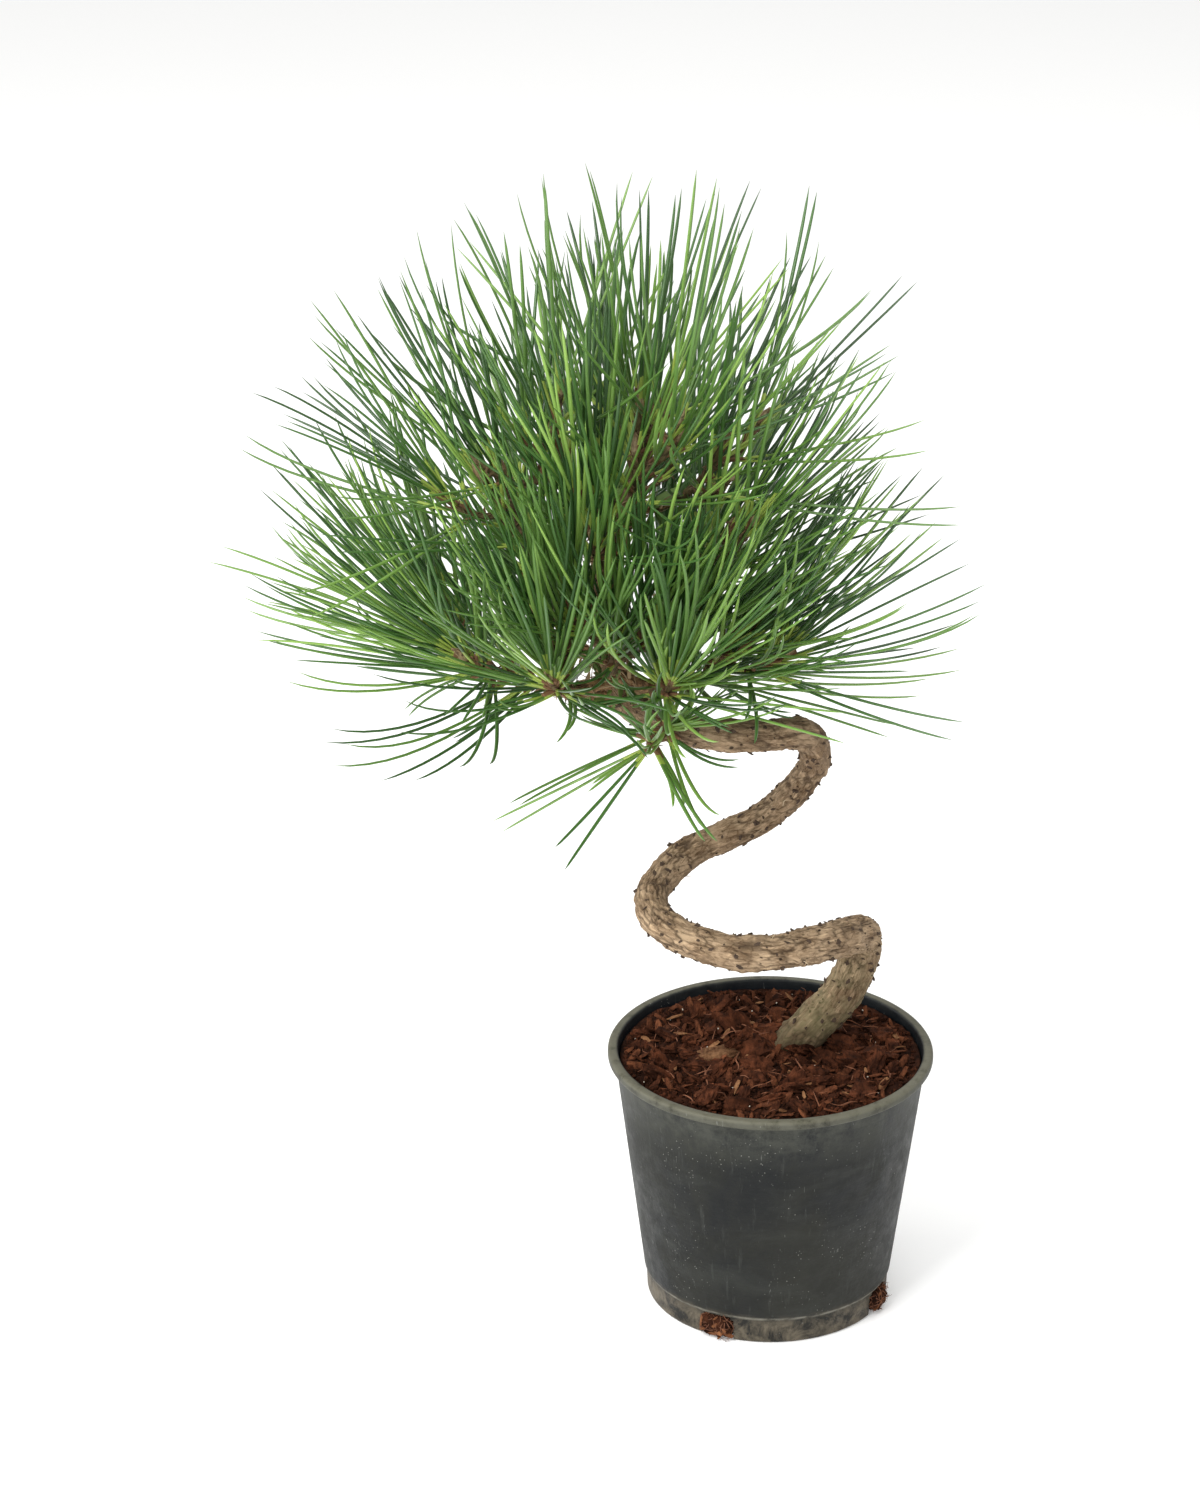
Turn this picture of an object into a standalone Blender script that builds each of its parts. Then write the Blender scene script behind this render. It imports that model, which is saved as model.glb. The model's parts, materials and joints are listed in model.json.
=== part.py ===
"""A Japanese black pine trained as a corkscrew bonsai, in a round plastic nursery pot.

Units are metres, +Z is up, and the origin is the centre of the pot's flat underside.
Seen from the front (looking along +Y) the crown leans to the left, towards -X.
Sizes in the tables below are millimetres and degrees.
"""

import math
import random

import bmesh
import bpy
import numpy as np
from mathutils import Matrix, Vector

MM = 0.001
GAP = 0.3 * MM
SQUARE_END = 0.6 * MM
UP = Vector((0.0, 0.0, 1.0))

# Pot: a 12 cm round nursery pot with a rolled lip, a foot band and four drain notches
RIM_RADIUS = 60.0
POT_HEIGHT = 99.5
LIP_WIDTH = 3.9
LIP_DEPTH = 3.4
WALL = 1.2
FOOT_RADIUS = 45.4
FOOT_HEIGHT = 10.5
FOOT_STEP = 0.7
FLOOR = 1.6
POT_SIDES = 48
NOTCH_WIDTH = 13.0
NOTCH_HEIGHT = 9.6
NOTCH_DEPTH = 8.5
NOTCH_OVERSHOOT = 4.0
NOTCH_BEARINGS = (244.0, 334.0, 64.0, 154.0)

# Peat: fills the pot to a little below the rim and bulges out of the drain notches
SOIL_LEVEL = 95.3
SOIL_ROUGHNESS = 1.7
SOIL_RINGS = 9
SOIL_SIDES = 36
FOOT_PATCH = 19.0

# Trunk: stations on a spiral round the stick that it was wound on, which is gone.
# Each is (bearing round the stick, distance from the stick, height, thickness).
STICK_X = -12.0
TRUNK_STATIONS = (
    (31.4, 21.1, 90.0, 17.0),
    (24.0, 29.5, 101.0, 15.4),
    (12.5, 40.6, 119.5, 14.6),
    (1.0, 45.0, 144.0, 14.4),
    (-38.0, 38.0, 153.0, 13.4),
    (-86.0, 36.0, 155.0, 12.8),
    (-135.0, 33.0, 156.6, 12.4),
    (-180.0, 32.2, 160.0, 12.0),
    (-230.0, 29.0, 167.3, 11.7),
    (-288.0, 29.4, 179.7, 11.3),
    (-334.0, 29.0, 206.5, 11.0),
    (-380.0, 23.6, 228.0, 11.2),
    (-425.0, 19.2, 231.4, 11.4),
    (-470.0, 21.5, 233.2, 11.2),
    (-510.0, 31.5, 235.2, 10.6),
    (-537.0, 42.6, 239.0, 9.6),
    (-540.0, 46.5, 251.0, 7.4),
    (-540.0, 51.5, 266.0, 6.3),
    (-540.0, 48.7, 284.0, 5.6),
    (-540.0, 43.5, 306.0, 4.9),
    (-540.0, 39.0, 322.0, 4.4),
)
TRUNK_PARTS = (
    ("trunk_foot", 0, 4),
    ("trunk_front_turn", 4, 7),
    ("trunk_back_turn", 7, 9),
    ("trunk_right_rise", 9, 11),
    ("trunk_top_turn", 11, 15),
    ("trunk_leader", 15, 20),
)
TRUNK_STEP = 6.0
CUTTER_SIDES = 16
CUTTER_GAP = 0.5
SURFACE_ROOTS = ((228.0, 15.0), (300.0, 10.5), (15.0, 9.5), (88.0, 10.0), (160.0, 10.5))
CUT_LEVEL = 96.0

# Boughs and the needle masses at their ends.
# Each row: name, height where it leaves the trunk, bearing, reach and lift of the bough,
# then bearing, reach and lift of the mass's stem, the turn of its first side twig, how thickly
# it is needled, how far its needles are steered up, and their length. A reach of 0 means that
# the stem sits straight on the trunk.
CROWN = (
    ("low_left", 239.5, 181.0, 25.0, 4.5, 184.0, 43.0, 21.0, 200.0, 1.25, 0.25, 84.0),
    ("low_right", 240.5, 350.0, 23.0, 6.0, 358.0, 22.0, 17.0, 300.0, 1.1, 0.25, 84.0),
    ("low_tuft", 235.6, 275.0, 0.0, 0.0, 290.0, 11.0, 3.0, 40.0, 0.25, -0.50, 68.0),
    ("low_front_left", 246.0, 229.0, 22.0, 1.0, 232.0, 13.0, 22.0, 120.0, 1.5, 0.45, 84.0),
    ("low_front_right", 247.0, 310.0, 21.0, 2.0, 306.0, 12.0, 20.0, 60.0, 1.5, 0.45, 84.0),
    ("low_front", 253.5, 274.0, 16.0, 3.0, 276.0, 10.0, 18.0, 200.0, 1.5, 0.50, 84.0),
    ("low_back_left", 247.5, 128.0, 20.0, 5.0, 132.0, 28.0, 24.0, 100.0, 0.7, 0.25, 84.0),
    ("low_back_right", 255.0, 48.0, 22.0, 6.0, 42.0, 26.0, 22.0, 250.0, 0.7, 0.25, 84.0),
    ("mid_left", 272.0, 180.0, 19.0, 20.0, 182.0, 22.0, 30.0, 330.0, 0.70, 0.25, 86.0),
    ("mid_front", 278.0, 272.0, 15.0, 12.0, 270.0, 6.0, 28.0, 80.0, 0.95, 0.30, 84.0),
    ("mid_right", 260.0, 350.0, 26.0, 20.0, 352.0, 20.0, 28.0, 250.0, 0.65, 0.25, 84.0),
    ("mid_back", 277.0, 96.0, 17.0, 10.0, 92.0, 24.0, 30.0, 60.0, 0.65, 0.25, 84.0),
    ("top_left", 297.0, 166.0, 20.0, 14.0, 168.0, 14.0, 24.0, 140.0, 0.45, 0.20, 86.0),
    ("top_front", 302.0, 290.0, 15.0, 12.0, 280.0, 5.0, 24.0, 200.0, 0.55, 0.25, 84.0),
    ("top_right", 309.0, 352.0, 17.0, 5.0, 352.0, 18.0, 22.0, 20.0, 0.45, 0.20, 84.0),
    ("top_back", 305.0, 72.0, 13.0, 6.0, 66.0, 16.0, 22.0, 120.0, 0.45, 0.20, 84.0),
    ("top_tip", 322.0, 90.0, 0.0, 0.0, 60.0, 4.0, 24.0, 180.0, 0.50, 0.20, 86.0),
)
CROWN_HEART = (-58.0, 0.0, 254.0)
BOUGH_BASE = 2.8
BOUGH_SHARE = 0.84
BOUGH_TAPER = 0.80
STEM_TIP = 1.3
SIDE_TWIGS = 2
SIDE_TWIG_LENGTH = 23.0
SIDE_TWIG_ANGLE = 52.0
TWIG_CLEAR = 3.0
TWIG_STEP = 8.0

# Needles: they stand in pairs round each twig, and one spike here stands for a pair
NEEDLE_RADIUS = 1.15
NEEDLE_ROOT = 0.7
NEEDLE_BEND = 0.56
SPREAD_LOW = 76.0
SPREAD_TIP = 12.0
DROOP = 0.4
GOLDEN_TURN = 137.508
STEM_PAIRS = 22
SIDE_PAIRS = 11
BARE_STEM = 3.5
BARE_ON_TRUNK = 8.5
SPACE_SLACK = 36.0
TRIES = ((0.0, 1.0), (0.35, 1.0), (0.75, 1.0), (0.0, 0.7), (0.5, 0.7), (1.1, 0.85))
CLEAR_OF_NEEDLES = 3.1
CLEAR_OF_OWN = 2.2
CLEAR_OF_LIMBS = 1.9

COLOURS = {
    "pot": ((0.055, 0.062, 0.060), 0.55),
    "peat": ((0.085, 0.035, 0.020), 0.95),
    "bark": ((0.300, 0.205, 0.110), 0.90),
    "bough": ((0.330, 0.215, 0.120), 0.85),
    "needles": ((0.075, 0.190, 0.035), 0.50),
}


def finish_of(name):
    """The shared Principled material of one kind of surface."""
    found = bpy.data.materials.get(name)
    if found:
        return found
    colour, roughness = COLOURS[name]
    made = bpy.data.materials.new(name)
    made.use_nodes = True
    shader = made.node_tree.nodes["Principled BSDF"]
    shader.inputs["Base Color"].default_value = (*colour, 1.0)
    shader.inputs["Roughness"].default_value = roughness
    shader.inputs["Metallic"].default_value = 0.0
    made.diffuse_color = (*colour, 1.0)
    return made


def new_collection(name):
    """An empty collection in the scene."""
    made = bpy.data.collections.new(name)
    bpy.context.scene.collection.children.link(made)
    return made


def mesh_object(name, mesh, collection, finish=None):
    """An object for a mesh, in a collection, with its own material slot."""
    made = bpy.data.objects.new(name, mesh)
    collection.objects.link(made)
    if finish:
        mesh.materials.clear()
        mesh.materials.append(finish_of(finish))
    return made


def frozen(source):
    """The evaluated mesh of an object, with its modifiers applied."""
    bpy.context.view_layer.update()
    graph = bpy.context.evaluated_depsgraph_get()
    return bpy.data.meshes.new_from_object(source.evaluated_get(graph))


def weld(mesh):
    """Join points that lie together, such as those of a tube and its loose caps."""
    bm = bmesh.new()
    bm.from_mesh(mesh)
    bmesh.ops.remove_doubles(bm, verts=bm.verts, dist=0.01 * MM)
    bm.to_mesh(mesh)
    bm.free()


def is_closed(mesh):
    """True for a mesh with faces in which every edge joins two of them."""
    bm = bmesh.new()
    bm.from_mesh(mesh)
    closed = len(bm.faces) > 0 and all(edge.is_manifold for edge in bm.edges)
    bm.free()
    return closed


def discard(item):
    """Remove an object and leave nothing of it behind."""
    bpy.data.objects.remove(item, do_unlink=True)


def boolean(target, operation, cutter=None, group=None):
    """Apply one Boolean to a mesh object, with one object or a whole collection.

    The MANIFOLD solver takes over where EXACT leaves an open edge.
    """
    step = target.modifiers.new(operation.lower(), "BOOLEAN")
    step.operation = operation
    if group:
        step.operand_type = "COLLECTION"
        step.collection = group
    else:
        step.object = cutter
    for solver in ("EXACT", "MANIFOLD"):
        step.solver = solver
        mesh = frozen(target)
        if is_closed(mesh):
            break
    target.modifiers.clear()
    spent = target.data
    target.data = mesh
    bpy.data.meshes.remove(spent)


class Limb:
    """A smooth path through stations, each a point and a radius, in metres."""

    def __init__(self, stations, finer=16):
        spots = [Vector(point) for point, _ in stations]
        widths = [radius for _, radius in stations]
        spots = [2 * spots[0] - spots[1], *spots, 2 * spots[-1] - spots[-2]]
        widths = [widths[0], *widths, widths[-1]]
        self.points = []
        self.radii = []
        for i in range(1, len(spots) - 2):
            for j in range(finer):
                t = j / finer
                self.points.append(self.between(spots[i - 1:i + 3], t))
                self.radii.append(self.between(widths[i - 1:i + 3], t))
        self.points.append(spots[-2])
        self.radii.append(widths[-2])
        self.lengths = [0.0]
        for a, b in zip(self.points, self.points[1:]):
            self.lengths.append(self.lengths[-1] + (b - a).length)
        self.length = self.lengths[-1]
        self.marks = self.lengths[::finer]

    @staticmethod
    def between(four, t):
        """Catmull-Rom between the middle two of four values."""
        a, b, c, d = four
        return 0.5 * (2 * b + (c - a) * t + (2 * a - 5 * b + 4 * c - d) * t ** 2
                      + (3 * b - a - 3 * c + d) * t ** 3)

    def at(self, along):
        """The point and the radius at a length along the path."""
        along = min(max(along, 0.0), self.length)
        i = min(int(np.searchsorted(self.lengths, along, side="right")) - 1, len(self.points) - 2)
        span = self.lengths[i + 1] - self.lengths[i]
        t = (along - self.lengths[i]) / span
        radius = self.radii[i] * (1 - t) + self.radii[i + 1] * t
        return self.points[i].lerp(self.points[i + 1], t), radius

    def heading(self, along):
        """The unit direction of the path at a length along it."""
        ahead = self.at(along + 0.5 * MM)[0]
        behind = self.at(along - 0.5 * MM)[0]
        return (ahead - behind).normalized()

    def length_at_height(self, height):
        """The length along the path where it first reaches a height."""
        for i, point in enumerate(self.points):
            if point.z >= height:
                return self.lengths[i]
        return self.length

    def away(self, spot):
        """How far a spot is from the limb's surface."""
        return min((spot - p).length - r for p, r in zip(self.points, self.radii))

    def facing(self, joint, way):
        """Two spots on a straight line through a joint, the nearer one half a gap from it."""
        middle, radius = self.at(joint)
        ahead = self.heading(joint) * way
        return [(middle + ahead * reach, radius) for reach in (GAP / 2, GAP / 2 + SQUARE_END)]

    def stretch(self, start, end, step, joint_start=False, joint_end=False):
        """Evenly spaced points and radii from one length along the path to another.

        Either end may be a joint, which leaves half a gap and makes facing caps parallel.
        """
        count = max(2, round((end - start) / step) + 1)
        spots = [self.at(start + (end - start) * i / (count - 1)) for i in range(count)]
        if joint_start:
            spots[:1] = self.facing(start, 1.0)
        if joint_end:
            spots[-1:] = reversed(self.facing(end, -1.0))
        return [point for point, _ in spots], [radius for _, radius in spots]


def limb_mesh(name, points, radii, rounding):
    """A tapering tube with flat ends along points, from a curve with a bevel."""
    curve = bpy.data.curves.new(name, "CURVE")
    curve.dimensions = "3D"
    curve.bevel_depth = MM
    curve.bevel_resolution = rounding
    curve.use_fill_caps = True
    curve.twist_mode = "MINIMUM"
    spline = curve.splines.new("POLY")
    spline.points.add(len(points) - 1)
    for knot, point, radius in zip(spline.points, points, radii):
        knot.co = (*point, 1.0)
        knot.radius = radius / MM
    holder = bpy.data.objects.new(name, curve)
    bpy.context.scene.collection.objects.link(holder)
    mesh = frozen(holder)
    mesh.name = name
    weld(mesh)
    discard(holder)
    return mesh


def compass(bearing):
    """The level unit vector at a bearing, counted from +X towards +Y."""
    angle = math.radians(bearing)
    return Vector((math.cos(angle), math.sin(angle), 0.0))


def trunk_path():
    """The whole trunk from below the soil to the leader's end."""
    stick = Vector((STICK_X * MM, 0.0, 0.0))
    stations = []
    for bearing, distance, height, thickness in TRUNK_STATIONS:
        point = stick + compass(bearing) * distance * MM + UP * height * MM
        stations.append((point, thickness * MM / 2))
    return Limb(stations)


def turned(name, profile, sides):
    """A closed turned mesh from a profile of (radius, height) that starts and ends on the axis."""
    mesh = bpy.data.meshes.new(name)
    points = [(radius * MM, 0.0, height * MM) for radius, height in profile]
    mesh.from_pydata(points, [(i, i + 1) for i in range(len(points) - 1)], [])
    holder = bpy.data.objects.new(name, mesh)
    bpy.context.scene.collection.objects.link(holder)
    screw = holder.modifiers.new("turn", "SCREW")
    screw.steps = sides
    screw.render_steps = sides
    screw.use_merge_vertices = True
    screw.merge_threshold = 0.01 * MM
    result = frozen(holder)
    result.name = name
    weld(result)
    discard(holder)
    bpy.data.meshes.remove(mesh)
    return result


def wall_radius(height):
    """Outer radius of the pot's tapered wall at a height, in millimetres."""
    under_lip = RIM_RADIUS - LIP_WIDTH + WALL
    low = FOOT_RADIUS + FOOT_STEP
    top = POT_HEIGHT - LIP_DEPTH
    return low + (under_lip - low) * (height - FOOT_HEIGHT) / (top - FOOT_HEIGHT)


def bore_radius(height):
    """Inner radius of the pot's wall at a height, at the middle of a facet, in millimetres."""
    outer = wall_radius(min(height, POT_HEIGHT - LIP_DEPTH))
    return (outer - WALL) * math.cos(math.pi / POT_SIDES)


def pot_profile():
    """The pot from the middle of its floor, up inside, over the lip and down to its underside."""
    inner_rim = RIM_RADIUS - LIP_WIDTH
    lip_base = POT_HEIGHT - LIP_DEPTH
    return (
        (0.0, FLOOR),
        (FOOT_RADIUS - 2.4, FLOOR),
        (FOOT_RADIUS - WALL, FLOOR + 1.2),
        (wall_radius(FOOT_HEIGHT) - WALL, FOOT_HEIGHT),
        (inner_rim, lip_base),
        (inner_rim, POT_HEIGHT - 0.9),
        (inner_rim + 0.8, POT_HEIGHT),
        (RIM_RADIUS - 1.1, POT_HEIGHT),
        (RIM_RADIUS, POT_HEIGHT - 1.0),
        (RIM_RADIUS, lip_base + 1.2),
        (RIM_RADIUS - 0.8, lip_base + 0.3),
        (wall_radius(lip_base), lip_base),
        (wall_radius(FOOT_HEIGHT), FOOT_HEIGHT),
        (FOOT_RADIUS, FOOT_HEIGHT - 0.4),
        (FOOT_RADIUS - 0.5, 1.6),
        (FOOT_RADIUS - 1.8, 0.0),
        (0.0, 0.0),
    )


def notch_box(name, bearing, collection):
    """A block over one drain notch at the foot of the wall."""
    bm = bmesh.new()
    bmesh.ops.create_cube(bm, size=1.0)
    inner = FOOT_RADIUS - NOTCH_DEPTH
    outer = FOOT_RADIUS + NOTCH_OVERSHOOT
    low = -NOTCH_OVERSHOOT
    size = (outer - inner, NOTCH_WIDTH, NOTCH_HEIGHT - low)
    middle = ((inner + outer) / 2, 0.0, (NOTCH_HEIGHT + low) / 2)
    for vert in bm.verts:
        vert.co = Vector([(c + v * s) * MM for c, v, s in zip(middle, vert.co, size)])
    bm.transform(Matrix.Rotation(math.radians(bearing), 4, "Z"))
    mesh = bpy.data.meshes.new(name)
    bm.to_mesh(mesh)
    bm.free()
    return mesh_object(name, mesh, collection)


def make_pot(parts, cutters):
    """The nursery pot with its drain notches cut through wall and floor."""
    pot = mesh_object("pot", turned("pot", pot_profile(), POT_SIDES), parts, "pot")
    for number, bearing in enumerate(NOTCH_BEARINGS, 1):
        cutter = notch_box(f"notch_{number}", bearing, cutters)
        boolean(pot, "DIFFERENCE", cutter)
        discard(cutter)
    pot.data.shade_smooth()
    pot.data.set_sharp_from_angle(angle=math.radians(35))
    return pot


def make_soil(parts, cutters, foot):
    """The root ball's peat: a plug that fills the pot, with a lumpy top round the trunk."""
    clear = GAP / MM + 0.05
    shoulder = SOIL_LEVEL - 2.2
    rim_ring = bore_radius(shoulder) - clear - 1.0
    profile = [(rim_ring * i / SOIL_RINGS, SOIL_LEVEL) for i in range(SOIL_RINGS + 1)]
    profile += [
        (bore_radius(shoulder) - clear, shoulder),
        (bore_radius(FOOT_HEIGHT) - clear, FOOT_HEIGHT),
        (FOOT_RADIUS - WALL - clear - 0.3, FLOOR + 1.7),
        (FOOT_RADIUS - 3.2, FLOOR + clear),
        (0.0, FLOOR + clear),
    ]
    soil = mesh_object("peat", turned("peat", profile, SOIL_SIDES), parts, "peat")
    rng = random.Random("peat")
    waves = [(rng.uniform(90, 330), rng.uniform(0, 360), rng.uniform(0, 6.28)) for _ in range(7)]
    for vert in soil.data.vertices:
        reach = math.hypot(vert.co.x, vert.co.y)
        if vert.co.z < (SOIL_LEVEL - 0.5) * MM or reach > (rim_ring + 0.01) * MM:
            continue
        lump = sum(math.sin(k * vert.co.dot(compass(b)) + p) for k, b, p in waves) / 2.6
        lump += rng.uniform(-0.6, 0.6)
        vert.co.z += lump * SOIL_ROUGHNESS * MM
        if (vert.co.xy - foot.xy).length < FOOT_PATCH * MM:
            vert.co.z = CUT_LEVEL * MM - GAP
    for number, bearing in enumerate(NOTCH_BEARINGS, 1):
        cutter = notch_box(f"notch_{number}", bearing, cutters)
        boolean(soil, "DIFFERENCE", cutter)
        discard(cutter)
    soil.data.shade_flat()
    return soil


def make_plug(number, bearing, parts):
    """A tuft of peat and root fibre that bulges out of one drain notch."""
    rng = random.Random(f"plug {number}")
    bm = bmesh.new()
    bmesh.ops.create_icosphere(bm, subdivisions=2, radius=1.0)
    inner = FOOT_RADIUS - NOTCH_DEPTH + 0.4
    outer = FOOT_RADIUS + 1.5
    half = Vector(((outer - inner) / 2, NOTCH_WIDTH / 2 - 0.45, (NOTCH_HEIGHT - 0.9) / 2))
    middle = Vector(((outer + inner) / 2, 0.0, 0.45 + half.z))
    for vert in bm.verts:
        square = max(abs(c) for c in vert.co)
        boxy = vert.co / square
        blend = vert.co.lerp(boxy, 0.55)
        blend *= rng.uniform(0.93, 1.0)
        blend = Vector([min(max(c, -1.0), 1.0) for c in blend])
        vert.co = Vector([(m + c * h) * MM for m, c, h in zip(middle, blend, half)])
    bm.transform(Matrix.Rotation(math.radians(bearing), 4, "Z"))
    name = f"peat_plug_{number}"
    mesh = bpy.data.meshes.new(name)
    bm.to_mesh(mesh)
    bm.free()
    return mesh_object(name, mesh, parts, "peat")


def trunk_rings(trunk):
    """Name, points and radii of each stretch of the trunk, with the gaps between them."""
    for name, first, last in TRUNK_PARTS:
        below_tip = last < len(TRUNK_STATIONS) - 1
        start, end = trunk.marks[first], trunk.marks[last]
        yield name, *trunk.stretch(start, end, TRUNK_STEP * MM, first > 0, below_tip)


def make_trunk(trunk, parts):
    """The trunk in the stretches between its bends, and the root flare at its foot."""
    for name, points, radii in trunk_rings(trunk):
        stretch = mesh_object(name, limb_mesh(name, points, radii, 2), parts, "bark")
        if name == "trunk_foot":
            add_root_flare(stretch, trunk)
        stretch.data.shade_smooth()
        stretch.data.set_sharp_from_angle(angle=math.radians(50))


def foot_centre(trunk):
    """Where the trunk's middle line comes out of the soil."""
    return trunk.at(trunk.length_at_height(CUT_LEVEL * MM))[0]


def add_root_flare(stretch, trunk):
    """Fuse short surface roots on the foot, then cut it flat at soil level."""
    centre = foot_centre(trunk)
    group = new_collection("surface_roots")
    for number, (bearing, reach) in enumerate(SURFACE_ROOTS):
        outward = compass(bearing)
        high = centre + outward * 2.0 * MM + UP * 9.0 * MM
        low = centre + outward * reach * MM - UP * 2.5 * MM
        knee = high.lerp(low, 0.5) - UP * 1.6 * MM
        root = Limb([(high, 4.6 * MM), (knee, 3.9 * MM), (low, 2.4 * MM)], finer=4)
        points, radii = root.stretch(0.0, root.length, 5.0 * MM)
        name = f"surface_root_{number}"
        mesh_object(name, limb_mesh(name, points, radii, 1), group)
    boolean(stretch, "UNION", group=group)
    for item in list(group.objects):
        discard(item)
    bpy.data.collections.remove(group)
    bm = bmesh.new()
    bm.from_mesh(stretch.data)
    geometry = [*bm.verts, *bm.edges, *bm.faces]
    bmesh.ops.bisect_plane(bm, geom=geometry, dist=0.01 * MM, clear_inner=True,
                           plane_co=(0.0, 0.0, CUT_LEVEL * MM), plane_no=UP)
    rim = [edge for edge in bm.edges if edge.is_boundary]
    bmesh.ops.holes_fill(bm, edges=rim)
    bm.to_mesh(stretch.data)
    bm.free()


class Mass:
    """One bough and the stem, side twigs and needle pairs that grow on from it."""

    def __init__(self, row, trunk):
        (self.name, height, bearing, reach, lift,
         stem_bearing, stem_reach, stem_lift, self.first_turn, self.fullness,
         self.rise, self.needle_length) = row
        start, parent = trunk.at(trunk.length_at_height(height * MM))
        base = min(BOUGH_BASE * MM, BOUGH_SHARE * parent)
        end = base * BOUGH_TAPER
        node = start + compass(bearing) * reach * MM + UP * lift * MM
        tip = node + compass(stem_bearing) * stem_reach * MM + UP * stem_lift * MM
        knee = node.lerp(tip, 0.5) - UP * 2.5 * MM + compass(stem_bearing) * 1.5 * MM
        self.has_bough = reach > 0.0
        stations = [(node, end), (knee, (end + STEM_TIP * MM) / 2), (tip, STEM_TIP * MM)]
        if self.has_bough:
            elbow = start.lerp(node, 0.5) - UP * lift * 0.12 * MM
            stations = [(start, base), (elbow, (base + end) / 2), *stations]
        self.limb = Limb(stations)
        self.joint = self.limb.marks[2] if self.has_bough else 0.0
        heart = Vector(CROWN_HEART) * MM
        self.outward = (tip - heart).normalized()
        self.twigs = [self.limb, *self.side_twigs(trunk)]
        self.needles = []

    def bare_to(self):
        """The length along the limb where its first needles and side twigs may stand."""
        return self.joint + (BARE_STEM if self.has_bough else BARE_ON_TRUNK) * MM

    def side_twigs(self, trunk):
        """Side twigs leave the stem in turn, a golden turn apart, and clear of the trunk."""
        made = []
        stem_length = self.limb.length - self.joint
        for number in range(SIDE_TWIGS):
            rng = random.Random(f"{self.name} twig {number}")
            along = self.joint + stem_length * (0.30 + 0.30 * number + rng.uniform(-0.04, 0.04))
            along = max(along, self.bare_to())
            start, radius = self.limb.at(along)
            axis = self.limb.heading(along)
            turn = self.first_turn + number * GOLDEN_TURN + rng.uniform(-12, 12)
            aim = leaning(axis, SIDE_TWIG_ANGLE + rng.uniform(-6, 6), turn)
            length = SIDE_TWIG_LENGTH * MM * rng.uniform(0.85, 1.15)
            knee = start + aim * length * 0.5
            end = start + (aim * 0.86 + axis * 0.18 + UP * 0.18).normalized() * length
            if min(trunk.away(knee), trunk.away(end)) < TWIG_CLEAR * MM:
                continue
            stations = [(start, radius * 0.8), (knee, radius * 0.72), (end, STEM_TIP * 0.85 * MM)]
            made.append(Limb(stations))
        return made

    def needle_pairs(self):
        """Every pair of needles that the rule gives, from the foot of each twig to its tip."""
        for twig_number, twig in enumerate(self.twigs):
            stem = twig_number == 0
            count = round((STEM_PAIRS if stem else SIDE_PAIRS) * self.fullness)
            start = self.bare_to() if stem else 0.3 * twig.length
            for k in range(count):
                rng = random.Random(f"{self.name} {twig_number} pair {k}")
                t = (k + 0.5) / count
                along = start + (twig.length - start) * t
                yield twig, along, t, k, rng


def leaning(axis, angle, turn):
    """A unit vector at an angle to an axis, turned round it."""
    side = axis.cross(UP)
    if side.length < 0.2:
        side = Vector((1.0, 0.0, 0.0)) - axis * axis.x
    side.normalize()
    across = Matrix.Rotation(math.radians(turn), 3, axis) @ side
    tilt = math.radians(angle)
    return axis * math.cos(tilt) + across * math.sin(tilt)


def needle_lines(mass, twig, along, t, k, rng):
    """The middle line of one pair as (root, bend, tip), and the other lines to try in turn."""
    root = twig.at(along)[0]
    axis = twig.heading(along)
    spread = SPREAD_LOW + (SPREAD_TIP - SPREAD_LOW) * t ** 0.75 + rng.uniform(-11, 11)
    aim = leaning(axis, spread, k * GOLDEN_TURN + rng.uniform(-20, 20))
    length = mass.needle_length * MM * rng.uniform(0.88, 1.08)
    bend = axis * rng.uniform(0.05, 0.20) + UP * rng.uniform(0.02, 0.16)
    for steer, shorter in TRIES:
        first = (aim + mass.outward * steer + UP * mass.rise).normalized()
        first.z = max(first.z, mass.rise - DROOP)
        first.normalize()
        second = (first + bend).normalized()
        knee = root + first * length * shorter * NEEDLE_BEND
        yield root, knee, knee + second * length * shorter * (1 - NEEDLE_BEND)


def segments_of(points):
    """Start and end rows of the segments of a polyline."""
    rows = np.array([tuple(p) for p in points])
    return rows[:-1], rows[1:]


def nearest(samples, starts, ends):
    """Distance from each sample point to each segment."""
    line = ends - starts
    reach = samples[:, None, :] - starts[None, :, :]
    t = np.clip((reach * line).sum(2) / (line * line).sum(1), 0.0, 1.0)
    return np.linalg.norm(reach - t[:, :, None] * line, axis=2)


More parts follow.
